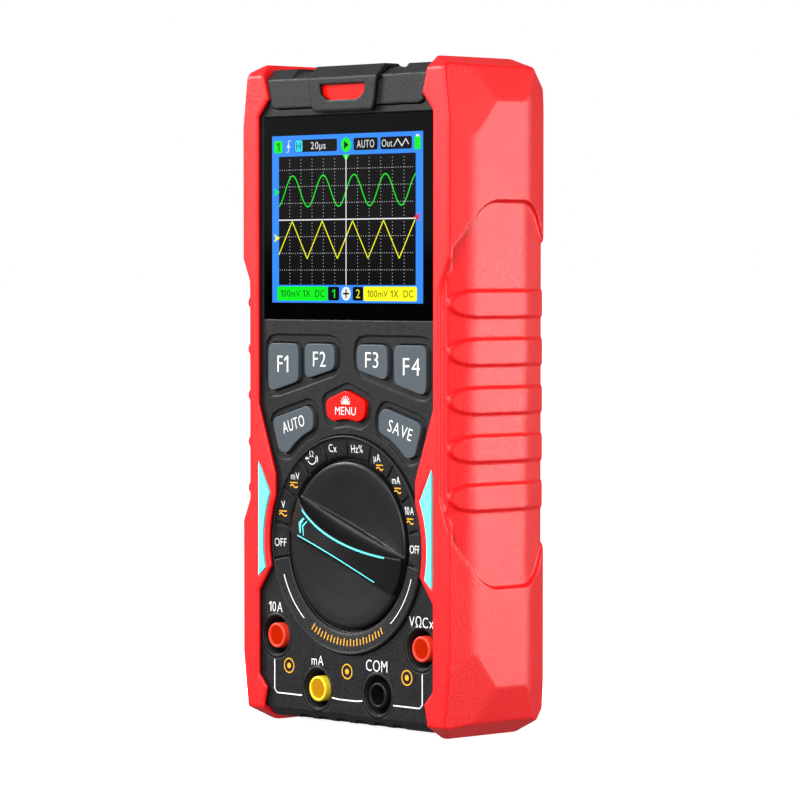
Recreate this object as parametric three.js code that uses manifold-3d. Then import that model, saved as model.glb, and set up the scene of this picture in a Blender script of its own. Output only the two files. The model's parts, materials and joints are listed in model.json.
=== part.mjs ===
// A handheld oscilloscope and multimeter in a two-part rubber armour.
// Millimetres. X runs across the front, Y from the front face to the back, Z up.
import * as THREE from "three";
import { mergeVertices } from "three/addons/utils/BufferGeometryUtils.js";
import Module from "manifold-3d";

const wasm = await Module();
wasm.setup();

// Driving dimensions
const GAP = 0.3; // clearance between pieces that touch
const CASE_HALF = 40; // half width of the plastic case
const CASE_BOTTOM = 1.7;
const CASE_BACK = 38;
const CASE_SPLIT = 20; // the depth at which the two case halves meet
const WALL = 2.4;
const BACK_WALL = 3;
const EAR_TOP = 190.2; // the case's corners beside the top cover
const DECK_TOP = 181.3; // the case's top edge under the cover
const BAY_FLOOR = 178.2; // the floor that the signal sockets stand on
const BAY_HALF = 33.4;
const ARMOUR_HALF = 46;
const ARMOUR_FRONT = -1.6;
const ARMOUR_BACK = 39.2;
const ARMOUR_TOP = 194.8;
const RIDGE_BOTTOM = 14.6; // the ends of the armour's side ridges
const RIDGE_TOP = 182.1;
const GRIP_DEPTH = 1.1; // how far the side is drawn in for the hand
const GRIP_BOTTOM = 42.9;
const GRIP_TOP = 153.8;
const RIB_COUNT = 5;
const RIB_PITCH = 13.8;
const RIB_HEIGHT = 7.2;
const RIB_LOWEST = 69.1;
const DIAL_Z = 53.9; // height of the selector's centre
const RING_OUTER = 32;
const RING_INNER = 25.2;
const KNOB_RADIUS = 24.6;
const KNOB_PROUD = 6.5;
const KNOB_ANGLE = 160; // where the pointer rests, anticlockwise from +X seen from the front
const BAR_MIDDLE = 2.9; // half width of the pointer bar at its waist
const BAR_END = 5.9;
const BAR_TIP = 0.3; // how high the bar stands at its two ends
const KEY_PROUD = 0.6;
const KEY_CORNER = 2.3;
const MAT_FRONT = 4.6;
const BOARD_FRONT = 12;
const BOARD_BACK = 13.6;
const HINGE_Y = 35; // top cover's hinge
const HINGE_Z = 187;
const LATCH_Y = 6.4; // latch's hinge in the top cover
const LATCH_Z = 192.3;
const COVER_BEND = 190.1; // where the top cover turns from its front to its slanted edge
const COVER_TOP = 193.2;
const STAND_Y = 37.6; // kickstand's hinge
const STAND_Z = 146;
const PIN_RADIUS = 1; // the top cover's pin; the latch's and the kickstand's are thinner
const LATCH_PIN_RADIUS = 0.5;
const STAND_PIN_RADIUS = 0.8;
const PIN_GAP = 0.1;
const FRAME_END = 200; // past the top of everything, for cutters
const DEPTH_CENTRE = (ARMOUR_BACK - KNOB_PROUD) / 2;

const JACKS = [
  { name: "10a", x: -31.05, z: 25.6, colour: "red" },
  { name: "ma", x: -12.9, z: 11, colour: "yellow" },
  { name: "com", x: 12.9, z: 11, colour: "black" },
  { name: "volt", x: 31.05, z: 25.6, colour: "red" },
];
const CASE_SCREWS = [
  { name: "lower_left", x: -31, z: 12 },
  { name: "lower_right", x: 31, z: 12 },
  { name: "upper_left", x: -33, z: 117.2 },
  { name: "upper_right", x: 33, z: 117.2 },
];
const SIGNAL_SOCKETS = [
  { name: "signal_socket_1", x: -21 },
  { name: "signal_socket_2", x: 0 },
  { name: "generator_socket", x: 21 },
];
const SOCKET_Y = 18;

const PAINT = {
  charcoal: { color: 0x34353a, roughness: 0.6 },
  black: { color: 0x17181b, roughness: 0.55 },
  red: { color: 0xd92b33, roughness: 0.7 },
  menuRed: { color: 0xe01812, roughness: 0.5 },
  cyan: { color: 0x4fdede, roughness: 0.5 },
  yellow: { color: 0xf0b818, roughness: 0.5 },
  keyGrey: { color: 0x606b72, roughness: 0.6 },
  glass: { color: 0x0a0c10, roughness: 0.1 },
  display: { color: 0x2f86f0, roughness: 0.3 },
  steel: { color: 0xa8abb0, roughness: 0.35, metalness: 1 },
  brass: { color: 0xb58d45, roughness: 0.3, metalness: 1 },
  board: { color: 0x1e5a34, roughness: 0.6 },
  mat: { color: 0x3a3c40, roughness: 0.8 },
  cell: { color: 0x2c5fae, roughness: 0.4 },
  ceramic: { color: 0xe8e4da, roughness: 0.4 },
};

const group = new THREE.Group();
group.position.y = -DEPTH_CENTRE;

function addPiece(name, solid, paint) {
  const mesh = solid.getMesh();
  const geometry = new THREE.BufferGeometry();
  geometry.setAttribute("position", new THREE.BufferAttribute(mesh.vertProperties, 3));
  geometry.setIndex(new THREE.BufferAttribute(mesh.triVerts, 1));
  geometry.computeVertexNormals();
  const piece = new THREE.Mesh(geometry, new THREE.MeshStandardMaterial(PAINT[paint]));
  piece.name = name;
  group.add(piece);
}

// Solids from three.js shapes
function toSolid(geometry) {
  geometry.deleteAttribute("normal");
  geometry.deleteAttribute("uv");
  const merged = mergeVertices(geometry, 1e-4);
  const triVerts = new Uint32Array(merged.index.array);
  const vertProperties = merged.attributes.position.array;
  return new wasm.Manifold(new wasm.Mesh({ numProp: 3, vertProperties, triVerts }));
}

const AXES = {
  // where an outline's two directions and its depth point
  X: [new THREE.Vector3(0, 1, 0), new THREE.Vector3(0, 0, 1), new THREE.Vector3(1, 0, 0)],
  Y: [new THREE.Vector3(1, 0, 0), new THREE.Vector3(0, 0, 1), new THREE.Vector3(0, -1, 0)],
  Z: [new THREE.Vector3(1, 0, 0), new THREE.Vector3(0, 1, 0), new THREE.Vector3(0, 0, 1)],
};

// An outline pushed along an axis, from one place on it to another.
function prism(axis, outline, from, to) {
  const shape = new THREE.Shape(outline.map(([a, b]) => new THREE.Vector2(a, b)));
  const geometry = new THREE.ExtrudeGeometry(shape, { depth: to - from, bevelEnabled: false });
  geometry.applyMatrix4(new THREE.Matrix4().makeBasis(...AXES[axis]));
  const start = axis === "Y" ? to : from;
  const offset = { X: [start, 0, 0], Y: [0, start, 0], Z: [0, 0, start] }[axis];
  return toSolid(geometry.translate(...offset));
}

function box([x0, x1], [y0, y1], [z0, z1]) {
  const geometry = new THREE.BoxGeometry(x1 - x0, y1 - y0, z1 - z0);
  return toSolid(geometry.translate((x0 + x1) / 2, (y0 + y1) / 2, (z0 + z1) / 2));
}

function arc(centreA, centreB, radius, startDeg, endDeg, steps) {
  const points = [];
  for (let i = 0; i <= steps; i++) {
    const angle = THREE.MathUtils.degToRad(startDeg + ((endDeg - startDeg) * i) / steps);
    points.push([centreA + radius * Math.cos(angle), centreB + radius * Math.sin(angle)]);
  }
  return points;
}

function circle(centreA, centreB, radius, sides = 24) {
  return arc(centreA, centreB, radius, 0, 360 - 360 / sides, sides - 1);
}

// A rod along Y at one place of the front.
function rod(x, z, radius, from, to, sides) {
  return prism("Y", circle(x, z, radius, sides), from, to);
}

// A rod along X at one place of the side.
function axle(y, z, radius, from, to, sides) {
  return prism("X", circle(y, z, radius, sides), from, to);
}

// The right half of an outline, from the bottom up, and its mirror image.
function bothSides(half) {
  return [...half, ...half.map(([x, z]) => [-x, z]).reverse()];
}

function mirrorX(outline) {
  return outline.map(([x, z]) => [-x, z]).reverse();
}

// The outline moved outwards by a distance, with sharp corners.
function grow(outline, distance) {
  const turns = THREE.ShapeUtils.isClockWise(outline.map(([x, y]) => ({ x, y }))) ? -1 : 1;
  const edge = ([x0, y0], [x1, y1]) => {
    const length = Math.hypot(x1 - x0, y1 - y0);
    return { nx: (turns * (y1 - y0)) / length, ny: (turns * (x0 - x1)) / length };
  };
  return outline.map((point, i) => {
    const before = edge(outline.at(i - 1), point);
    const after = edge(point, outline[(i + 1) % outline.length]);
    const scale = distance / (1 + before.nx * after.nx + before.ny * after.ny);
    return [point[0] + scale * (before.nx + after.nx), point[1] + scale * (before.ny + after.ny)];
  });
}

// The outline with each corner turned into an arc.
function rounded(outline, radius, steps = 3) {
  return outline.flatMap((corner, i) => {
    const point = new THREE.Vector2(...corner);
    const toBefore = new THREE.Vector2(...outline.at(i - 1)).sub(point);
    const toAfter = new THREE.Vector2(...outline[(i + 1) % outline.length]).sub(point);
    const half = Math.abs(toBefore.angleTo(toAfter)) / 2;
    const reach = Math.min(radius / Math.tan(half), toBefore.length() * 0.48, toAfter.length() * 0.48);
    const start = point.clone().addScaledVector(toBefore.normalize(), reach);
    const end = point.clone().addScaledVector(toAfter.normalize(), reach);
    const curve = new THREE.QuadraticBezierCurve(start, point, end);
    return curve.getPoints(steps).map(({ x, y }) => [x, y]);
  });
}

// What is left of a solid behind a plane through three points, whose normal points out of it.
function cutByPlane(solid, a, b, c) {
  const [pa, pb, pc] = [a, b, c].map((p) => new THREE.Vector3(...p));
  const normal = pb.clone().sub(pa).cross(pc.clone().sub(pa)).normalize();
  const size = 400;
  const block = new THREE.BoxGeometry(size, size, size).translate(0, 0, size / 2);
  const turn = new THREE.Quaternion().setFromUnitVectors(new THREE.Vector3(0, 0, 1), normal);
  block.applyQuaternion(turn).translate(pa.x, pa.y, pa.z);
  return solid.subtract(toSolid(block));
}

// A turned piece from points of radius and height, bottom to top on its outside.
function turned(profile, sides) {
  const points = profile.map(([r, h]) => new THREE.Vector2(r, h));
  return new THREE.LatheGeometry(points, sides);
}

// Case
function caseOutline() {
  return bothSides([
    [34.6, CASE_BOTTOM],
    [34.6, 4.6],
    [36.8, 4.6],
    [CASE_HALF, 8.5],
    [CASE_HALF, 184],
    [37, EAR_TOP],
    [35.7, EAR_TOP],
    [35.7, 184.2],
    [33.1, 184.2],
    [32.8, 182],
    [31, DECK_TOP],
  ]);
}

function caseHalf(from, to) {
  return prism("Y", caseOutline(), from, to);
}

function connectorBay() {
  return box([-BAY_HALF, BAY_HALF], [WALL, CASE_BACK - WALL], [BAY_FLOOR, EAR_TOP]);
}

// The hollow of the case below the bay.
function caseHollow() {
  const inner = CASE_HALF - WALL;
  return prism("Y", bothSides([[inner, 7], [inner, BAY_FLOOR - 2]]), WALL, CASE_BACK - BACK_WALL);
}

function socketHoles() {
  const holes = SIGNAL_SOCKETS.map(({ x }) => {
    return prism("Z", circle(x, SOCKET_Y, 4.9, 16), BAY_FLOOR - 5, BAY_FLOOR + 1);
  });
  return holes.reduce((all, hole) => all.add(hole));
}

function usbCutter(margin) {
  const half = 4.6 + margin;
  const y = 30;
  return box([10.5 - half, 10.5 + half], [y - 1.7 - margin, y + 1.7 + margin], [174, 182]);
}

const WINDOW = { half: 36, bottom: 119.7, top: 178.9, front: -0.3, back: 0.9 };
const SCREEN_HOLE = { half: 32.8, bottom: 123.9, top: 174 };

function windowBlock(margin, from, to) {
  const half = WINDOW.half + margin;
  return box([-half, half], [from, to], [WINDOW.bottom - margin, WINDOW.top + margin]);
}

function bottomChamfer() {
  // takes the front's lower edge off between the face and the bottom
  return prism("X", [[-1, 0], [2.6, CASE_BOTTOM], [0, 4.3], [-1, 5.3]], -35, 35);
}

const POCKET_DEPTH = 0.5;
const RIGHT_POCKET = [[2.8, 103.7], [35.8, 95.1], [35.8, 115], [2.8, 115]];

// The shallow pockets that the keys stand in.
function keyPockets() {
  const outlines = [
    rounded(RIGHT_POCKET, 5),
    rounded(mirrorX(RIGHT_POCKET), 5),
    rounded(grow(AUTO_KEY, 2.1), 5),
    rounded(grow(mirrorX(AUTO_KEY), 2.1), 5),
    rounded(grow(MENU_KEY, 2.2), 3),
  ];
  const pockets = outlines.map((outline) => prism("Y", outline, -1, POCKET_DEPTH));
  return pockets.reduce((all, pocket) => all.add(pocket));
}

// The slots in the lower front chamfer that the sounder is heard through.
function soundSlots() {
  const slots = [-20, -12, -4, 4, 12, 20].map((x) => {
    return rounded([[x - 2.6, 1.2], [x + 2.6, 1.2], [x + 2.6, 2.9], [x - 2.6, 2.9]], 0.8, 2);
  });
  return slots.map((slot) => prism("Y", slot, 0, 3.4)).reduce((all, slot) => all.add(slot));
}

function makeFrontCase() {
  let solid = caseHalf(0, CASE_SPLIT - GAP).subtract(caseHollow()).subtract(connectorBay());
  solid = solid.subtract(bottomChamfer()).subtract(socketHoles()).subtract(usbCutter(GAP));
  solid = solid.subtract(windowBlock(GAP, -1, WINDOW.back + GAP));
  const { half, bottom, top } = SCREEN_HOLE;
  solid = solid.subtract(box([-half, half], [-1, WALL + 1], [bottom, top]));
  solid = solid.add(rod(0, DIAL_Z, 34, WALL - 0.5, 4, 48));
  solid = solid.subtract(rod(0, DIAL_Z, RING_OUTER + GAP, -1, 1, 48));
  solid = solid.subtract(rod(0, DIAL_Z, RING_INNER + 0.2, -1, 2.2, 48));
  solid = solid.subtract(rod(0, DIAL_Z, 4.2, 0, 5, 20));
  solid = solid.subtract(keyPockets()).subtract(soundSlots());
  KEYS.forEach(({ outline }) => {
    solid = solid.subtract(prism("Y", grow(rounded(outline, KEY_CORNER), GAP), -1, WALL + 0.1));
  });
  JACKS.forEach(({ x, z }) => {
    solid = solid.subtract(rod(x, z, 6.9, -1, 14.4));
  });
  CASE_SCREWS.forEach(({ x, z }) => {
    const boss = rod(x, z, 2.9, WALL - 0.5, CASE_SPLIT - 0.5, 16);
    solid = solid.add(boss.subtract(rod(x, z, 1.45, 12, CASE_SPLIT, 12)));
  });
  addPiece("front_case", solid, "charcoal");
}

const DOOR = { half: 34, bottom: 19.5, top: 68, front: 36.3 };
const DOOR_SCREWS = [
  { name: "left", x: -24, z: 64.8 },
  { name: "right", x: 24, z: 64.8 },
];
const STAND = { half: 20, bottom: 78, front: 36.5, back: 38.6 };

const COVER_LUG_X = 26.2;
const STAND_LUG_X = 22;

function coverLug(x) {
  // carries one end of the top cover's hinge pin
  const web = box([x - 2.2, x + 2.2], [33, 37.4], [BAY_FLOOR - 0.5, HINGE_Z]);
  const eye = axle(HINGE_Y, HINGE_Z, 2.4, x - 2.2, x + 2.2, 20);
  return web.add(eye).subtract(axle(HINGE_Y, HINGE_Z, PIN_RADIUS + PIN_GAP, x - 3, x + 3, 16));
}

function standLug(x) {
  const eye = axle(STAND_Y, STAND_Z, 1.6, x - 1.5, x + 1.5, 16);
  return eye.subtract(axle(STAND_Y, STAND_Z, STAND_PIN_RADIUS + PIN_GAP, x - 2, x + 2, 12));
}

function doorSeat() {
  const { half, bottom, top, front } = DOOR;
  return box([-half - GAP, half + GAP], [front - GAP, 40], [bottom - GAP, top + GAP]);
}

function makeRearCase() {
  let solid = caseHalf(CASE_SPLIT, CASE_BACK);
  solid = solid.add(box([-35, 35], [CASE_BACK - WALL, CASE_BACK - 0.6], [180, 184.2]));
  solid = solid.subtract(caseHollow()).subtract(connectorBay());
  solid = solid.subtract(socketHoles()).subtract(usbCutter(GAP));
  solid = solid.subtract(doorSeat()).subtract(box([-33, 33], [30, 40], [21.5, 60.5]));
  DOOR_SCREWS.forEach(({ x, z }) => {
    solid = solid.add(rod(x, z, 3, 28, DOOR.front - GAP, 16)).subtract(rod(x, z, 1.35, 27, 40, 12));
  });
  const pocketHalf = STAND.half + 0.5;
  const pocketHeight = [STAND.bottom - 5, STAND_Z + 3];
  solid = solid.subtract(box([-pocketHalf, pocketHalf], [STAND.front - GAP, 40], pocketHeight));
  solid = solid.subtract(axle(STAND_Y, STAND_Z, 1.9, -pocketHalf, pocketHalf, 16));
  [-STAND_LUG_X, STAND_LUG_X].forEach((x) => {
    const bed = axle(STAND_Y, STAND_Z, 1, x - 1.5, x + 1.5, 12);
    solid = solid.subtract(bed).add(standLug(x));
  });
  [-COVER_LUG_X, COVER_LUG_X].forEach((x) => {
    solid = solid.add(coverLug(x));
  });
  CASE_SCREWS.forEach(({ x, z }) => {
    solid = solid.subtract(rod(x, z, 1.6, 30, 40, 12)).subtract(rod(x, z, 2.9, 36, 40, 16));
  });
  addPiece("rear_case", solid, "charcoal");
}

function makeScrew(name, x, z, { head, shank, tip, seat, back }) {
  const solid = rod(x, z, head, seat, back, 16).add(rod(x, z, shank, tip, seat + 0.1, 12));
  const slot = box([x - head, x + head], [back - 0.6, back + 1], [z - 0.35, z + 0.35]);
  addPiece(name, solid.subtract(slot), "steel");
}

function makeScrews() {
  const long = { head: 2.5, shank: 1.25, tip: 13, seat: 36.3, back: 37.8 };
  const short = { head: 2.2, shank: 1.1, tip: 29, seat: 36.9, back: 37.9 };
  CASE_SCREWS.forEach(({ name, x, z }) => makeScrew("case_screw_" + name, x, z, long));
  DOOR_SCREWS.forEach(({ name, x, z }) => makeScrew("door_screw_" + name, x, z, short));
}

function makeBatteryDoor() {
  const { half, bottom, top, front } = DOOR;
  let solid = box([-half, half], [front, CASE_BACK], [bottom, top]);
  DOOR_SCREWS.forEach(({ x, z }) => {
    solid = solid.subtract(rod(x, z, 1.4, 30, 40, 12)).subtract(rod(x, z, 2.6, 36.8, 40, 16));
  });
  addPiece("battery_door", solid, "charcoal");
}

// Armour
function armourSection() {
  return [
    [30, ARMOUR_FRONT],
    [44, ARMOUR_FRONT],
    [ARMOUR_HALF, 6.9],
    [ARMOUR_HALF, 28.6],
    [42, ARMOUR_BACK],
    [30, ARMOUR_BACK],
  ];
}

function armourSilhouette() {
  return [
    [28, 0],
    [37.5, 0],
    [43.5, 4.4],
    [ARMOUR_HALF, RIDGE_BOTTOM],
    [ARMOUR_HALF, RIDGE_TOP],
    [43.5, 192.2],
    [37.5, ARMOUR_TOP],
    [28, ARMOUR_TOP],
  ];
}

function armourSideProfile() {
  return [
    [4.5, 0],
    [32, 0],
    [ARMOUR_BACK, 6.5],
    [ARMOUR_BACK, 186.3],
    [33.2, 192.2],
    [29.8, ARMOUR_TOP],
    [1.6, ARMOUR_TOP],
    [ARMOUR_FRONT, 191.3],
    [ARMOUR_FRONT, 4],
  ];
}

// The opening in the armour that the front shows through.
function frontOpening() {
  return bothSides([
    [35, -1],
    [35, 5.1],
    [33.8, 10.1],
    [37.3, 13.8],
    [37.3, 38.8],
    ...arc(0, DIAL_Z, 32.7, -13.4, 29, 12),
    [37.4, 94.3],
    [37.4, 179.3],
    [33, 184.3],
    [35, 191.3],
    [36.3, 196],
  ]);
}

const ACCENT = [[37.1, 43.3], [37.1, 77.3], ...arc(0, DIAL_Z, 35.2, 23.5, -13.5, 8)];

// The slanted planes at the armour's corners, as points on them: X, Y and distance past the ridge's end.
const FRONT_FACET = [[46, 15.8, 0], [46, 7.9, -9.8], [43.7, ARMOUR_FRONT, -2.8]];
const REAR_FACET = [[44.4, 32.8, 0], [42, ARMOUR_BACK, -3.3], [43.4, 33.3, 10]];

function armourShell() {
  let solid = prism("Z", armourSection(), 0, ARMOUR_TOP)
    .intersect(prism("Y", armourSilhouette(), ARMOUR_FRONT, ARMOUR_BACK))
    .intersect(prism("X", armourSideProfile(), 28, ARMOUR_HALF));
  const above = ([x, y, past]) => [x, y, RIDGE_TOP + past];
  const below = ([x, y, past]) => [x, y, RIDGE_BOTTOM - past];
  solid = cutByPlane(solid, ...[...FRONT_FACET].reverse().map(above));
  solid = cutByPlane(solid, ...FRONT_FACET.map(below));
  solid = cutByPlane(solid, ...REAR_FACET.map(above));
  return cutByPlane(solid, ...[...REAR_FACET].reverse().map(below));
}

function armourHalf() {
  const shell = armourShell();
  const gripFloor = box([ARMOUR_HALF - GRIP_DEPTH, 50], [-5, 45], [GRIP_BOTTOM, GRIP_TOP]);
  let solid = shell.subtract(gripFloor);
  for (let i = 0; i < RIB_COUNT; i++) {
    const z = RIB_LOWEST + i * RIB_PITCH;
    const rib = box([43, ARMOUR_HALF - 0.3], [5, 36], [z - RIB_HEIGHT / 2, z + RIB_HEIGHT / 2]);
    solid = solid.add(rib.intersect(shell));
  }
  solid = solid.subtract(prism("Y", grow(caseOutline(), GAP), -GAP, CASE_BACK + GAP));
  solid = solid.subtract(prism("Y", frontOpening(), -5, CASE_BACK + GAP));
  solid = solid.subtract(box([0, 36.2], [CASE_BACK - 1, 45], [-1, FRAME_END]));
  solid = solid.subtract(box([0, 36.2], [24, 45], [DECK_TOP, FRAME_END]));
  return solid.subtract(prism("Y", grow(ACCENT, 0.2), -5, 0));
}

function makeArmour() {
  const right = armourHalf();
  addPiece("right_armour", right, "red");
  addPiece("left_armour", right.mirror([1, 0, 0]), "red");
  const accent = prism("Y", ACCENT, ARMOUR_FRONT - 0.1, -GAP);
  addPiece("right_accent", accent, "cyan");
  addPiece("left_accent", accent.mirror([1, 0, 0]), "cyan");
}

// Display
function makeDisplay() {
  addPiece("display_window", windowBlock(0, WINDOW.front, WINDOW.back), "glass");
  addPiece("lcd_panel", box([-34.4, 34.4], [2.7, 4.2], [121.8, 174.9]), "display");
  const tray = box([-35.4, 35.4], [2.7, 6.4], [120.8, 175.9]);
  addPiece("lcd_frame", tray.subtract(box([-34.7, 34.7], [0, 4.5], [121.5, 175.2])), "steel");
}

// Keys
const F_TOP = 112.4;
const F1_KEY = [[-33.8, 97.8], [-20.5, 101.3], [-20.5, F_TOP], [-33.8, F_TOP]];
const F2_KEY = [[-17.7, 101.9], [-4.8, 105.1], [-4.8, F_TOP], [-17.7, F_TOP]];
const AUTO_KEY = [
  [-32.2, 89.9],
  [-29.1, 80.6],
  [-25.7, 79.8],
  [-22, 83.1],
  [-18.6, 85.4],
  [-14.1, 87.3],
  [-14.1, 91.9],
  [-16.2, 94.3],
];
const MENU_KEY = bothSides([[1.5, 90.6], [5.4, 90], [7.9, 91.2], [8.6, 95.9], [0.6, 98.8]]);
const KEYS = [
  { name: "key_f1", outline: F1_KEY, paint: "keyGrey" },
  { name: "key_f2", outline: F2_KEY, paint: "keyGrey" },
  { name: "key_f3", outline: mirrorX(F2_KEY), paint: "keyGrey" },
  { name: "key_f4", outline: mirrorX(F1_KEY), paint: "keyGrey" },
  { name: "key_auto", outline: AUTO_KEY, paint: "keyGrey" },
  { name: "key_save", outline: mirrorX(AUTO_KEY), paint: "keyGrey" },
  { name: "key_menu", outline: MENU_KEY, paint: "menuRed" },
];

function makeKeys() {
  KEYS.forEach(({ name, outline, paint }) => {
    const cap = prism("Y", rounded(outline, KEY_CORNER), -KEY_PROUD, WALL + 0.5);
    const flange = prism("Y", grow(outline, 1.2), WALL + GAP, WALL + 1.1);
    addPiece(name, cap.add(flange), paint);
  });
  const mat = bothSides([[8, 88.8], [34.2, 75.8], [34.2, 113.8]]);
  addPiece("keypad_mat", prism("Y", mat, MAT_FRONT, MAT_FRONT + 1.4), "mat");
}

// Selector
function makeDialRing() {
  const profile = [
    [RING_INNER + 0.4, -0.7],
    [RING_OUTER, -0.7],
    [RING_OUTER, 0.7],
    [RING_OUTER - 0.5, 1],
    [RING_OUTER - 1.2, 0.8],
    [RING_INNER + 0.4, 0],
    [RING_INNER + 0.4, -0.7],
  ];
  const geometry = turned(profile, 48).rotateX(Math.PI).translate(0, 0, DIAL_Z);
  addPiece("dial_ring", toSolid(geometry), "charcoal");
}

// The pointer bar: waisted seen from the front and arched seen from the side.
function knobBar() {
  const plan = [];
  const arch = [];
  for (let i = -6; i <= 6; i++) {
    const t = i / 6;
    plan.push([t * KNOB_RADIUS, -(BAR_MIDDLE + (BAR_END - BAR_MIDDLE) * t * t)]);
    arch.push([t * KNOB_RADIUS, -(BAR_TIP + (KNOB_PROUD - BAR_TIP) * (1 - t * t) ** 0.8)]);
  }
  plan.push(...plan.map(([u, v]) => [-u, -v]));
  arch.push([KNOB_RADIUS, 1], [-KNOB_RADIUS, 1]);
  const tall = prism("Y", plan, -KNOB_PROUD, 1);
  const skirt = box([-KNOB_RADIUS, KNOB_RADIUS], [-1.6, 1], [-BAR_END, BAR_END]);
  return tall.add(skirt).intersect(prism("Z", arch, -BAR_END, BAR_END));
}

function makeSelector() {
  const disc = rod(0, 0, KNOB_RADIUS, -0.1, 1.9, 48);
  const bar = knobBar().intersect(rod(0, 0, KNOB_RADIUS, -20, 5, 48));
  const knob = disc.add(bar).rotate([0, -KNOB_ANGLE, 0]).translate([0, 0, DIAL_Z]);
  addPiece("selector_knob", knob, "charcoal");
  addPiece("selector_shaft", rod(0, DIAL_Z, 3.9, 2.2, 8.6, 20), "black");
  addPiece("selector_wiper", rod(0, DIAL_Z, 15, 8.9, 10.2, 32), "brass");
  const housing = rod(0, DIAL_Z, 18, 4.3, 11.7, 32);
  addPiece("switch_housing", housing.subtract(rod(0, DIAL_Z, 15.6, 0, 20, 32)), "black");
}

// Input jacks
function makeJacks() {
  const shroud = [
    [2.45, -14],
    [6.6, -14],
    [6.6, 0],
    [5.9, 0],
    [5.5, -0.5],
    [5.5, -12.3],
    [3.75, -12.3],
    [3.75, 0],
    [2.45, 0],
    [2.45, -14],
  ];
  JACKS.forEach(({ name, x, z, colour }) => {
    const geometry = turned(shroud, 16).rotateX(Math.PI).translate(x, 0, z);
    addPiece("jack_" + name, toSolid(geometry), colour);
    const contact = rod(x, z, 2.25, 1.5, 15.2, 16).subtract(rod(x, z, 2, 0, 14, 16));
    addPiece("jack_contact_" + name, contact, "brass");
  });
}

// Signal sockets under the top cover
function makeSignalSockets() {
  const profile = [
    [0, BAY_FLOOR - 3.7],
    [4.5, BAY_FLOOR - 3.7],
    [4.5, BAY_FLOOR + GAP],
    [6.3, BAY_FLOOR + GAP],
    [6.3, 180.2],
    [4.85, 180.2],
    [4.85, 190.4],
    [4.1, 190.4],
    [4.1, 183],
    [1.2, 183],
    [1.2, 188.5],
    [0, 188.5],
  ];
  SIGNAL_SOCKETS.forEach(({ name, x }) => {
    const geometry = turned(profile, 16).rotateX(Math.PI / 2).translate(x, SOCKET_Y, 0);
    addPiece(name, toSolid(geometry), "steel");
  });
  const usb = usbCutter(0).intersect(box([0, 20], [20, 36], [175, 179.4]));
  addPiece("usb_port", usb.subtract(box([6.9, 14.1], [29.1, 30.9], [176, 182])), "steel");
}

// Top cover
function coverSide(lift) {
  // the hood's outline seen from the side, drawn in by its wall thickness
  return [
    [-0.6 + lift, 181.6],
    [HINGE_Y - 2.2, 181.6],
    [HINGE_Y - 2.2, 189 - lift],
    [HINGE_Y - 0.6 - lift, 191.4 - lift],
    [26, COVER_TOP - lift],
    [2.6 + lift / 2, COVER_TOP - lift],
    [-0.6 + lift, COVER_BEND - lift / 2],
  ];
}

function coverHood() {
  const front = bothSides([
    [30.7, 181.6],
    [32.4, 182.3],
    [32.7, 184.3],
    [34.3, COVER_BEND],
    [34.7, 196],
  ]);
  const outer = prism("X", coverSide(0), -35, 35).intersect(prism("Y", front, -1, 38));
  const inner = prism("X", coverSide(2), -32.9, 32.9).add(box([-29, 29], [1.4, 32], [181, 182]));
  return outer.subtract(inner).subtract(box([-36, 36], [1.4, 40], [181, 184.5]));
}

// The shallow channel across the cover's top that the latch lies in.
function coverChannel() {
  const floor = COVER_TOP - 1;
  const side = [
    [-3, COVER_BEND],
    [-0.6, COVER_BEND],
    [2.9, floor],
    [27, floor],
    [27, FRAME_END],
    [-3, FRAME_END],
  ];
  return prism("X", side, -23.5, 23.5);
}

// The cuts in the cover that the latch, its barrel and the catch stand in.
function latchRoom() {
  const catchRoom = box([-10.6, 10.6], [-2, 1.5], [181, 188.8]);
  const seatFloor = LATCH_Z - 0.2;
  const side = [
    [-3, 188.5],
    [-0.6, 188.5],
    [3.2, seatFloor],
    [8, seatFloor],
    [8, FRAME_END],
    [-3, FRAME_END],
  ];
  const seat = prism("X", side, -15.2, 15.2);
  const barrelSlot = box([-15.2, 15.2], [LATCH_Y - 1.5, LATCH_Y + 1.5], [190, FRAME_END]);
  const pinHole = axle(LATCH_Y, LATCH_Z, LATCH_PIN_RADIUS + PIN_GAP, -16.6, 16.6, 12);
  return catchRoom.add(seat).add(barrelSlot).add(pinHole);
}

// The room around one of the case's hinge lugs.
function lugRoom() {
  const around = axle(HINGE_Y, HINGE_Z, 2.9, 23.7, 28.8, 20);
  return around.add(box([23.7, 28.8], [32.2, 40], [180, HINGE_Z]));
}

function makeTopCover() {
  const barrel = axle(HINGE_Y, HINGE_Z, 2.4, -23.6, 23.6, 20);
  const web = box([-23.6, 23.6], [HINGE_Y - 2.4, HINGE_Y + 1], [HINGE_Z, HINGE_Z + 3.6]);
  let solid = coverHood().subtract(coverChannel());
  solid = solid.subtract(lugRoom()).subtract(lugRoom().mirror([1, 0, 0])).add(web).add(barrel);
  solid = solid.subtract(axle(HINGE_Y, HINGE_Z, PIN_RADIUS + PIN_GAP, -40, 40, 16));
  addPiece("top_cover", solid.subtract(latchRoom()), "black");
  addPiece("cover_hinge_pin", axle(HINGE_Y, HINGE_Z, PIN_RADIUS, -28.4, 28.4, 16), "steel");
}

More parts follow.
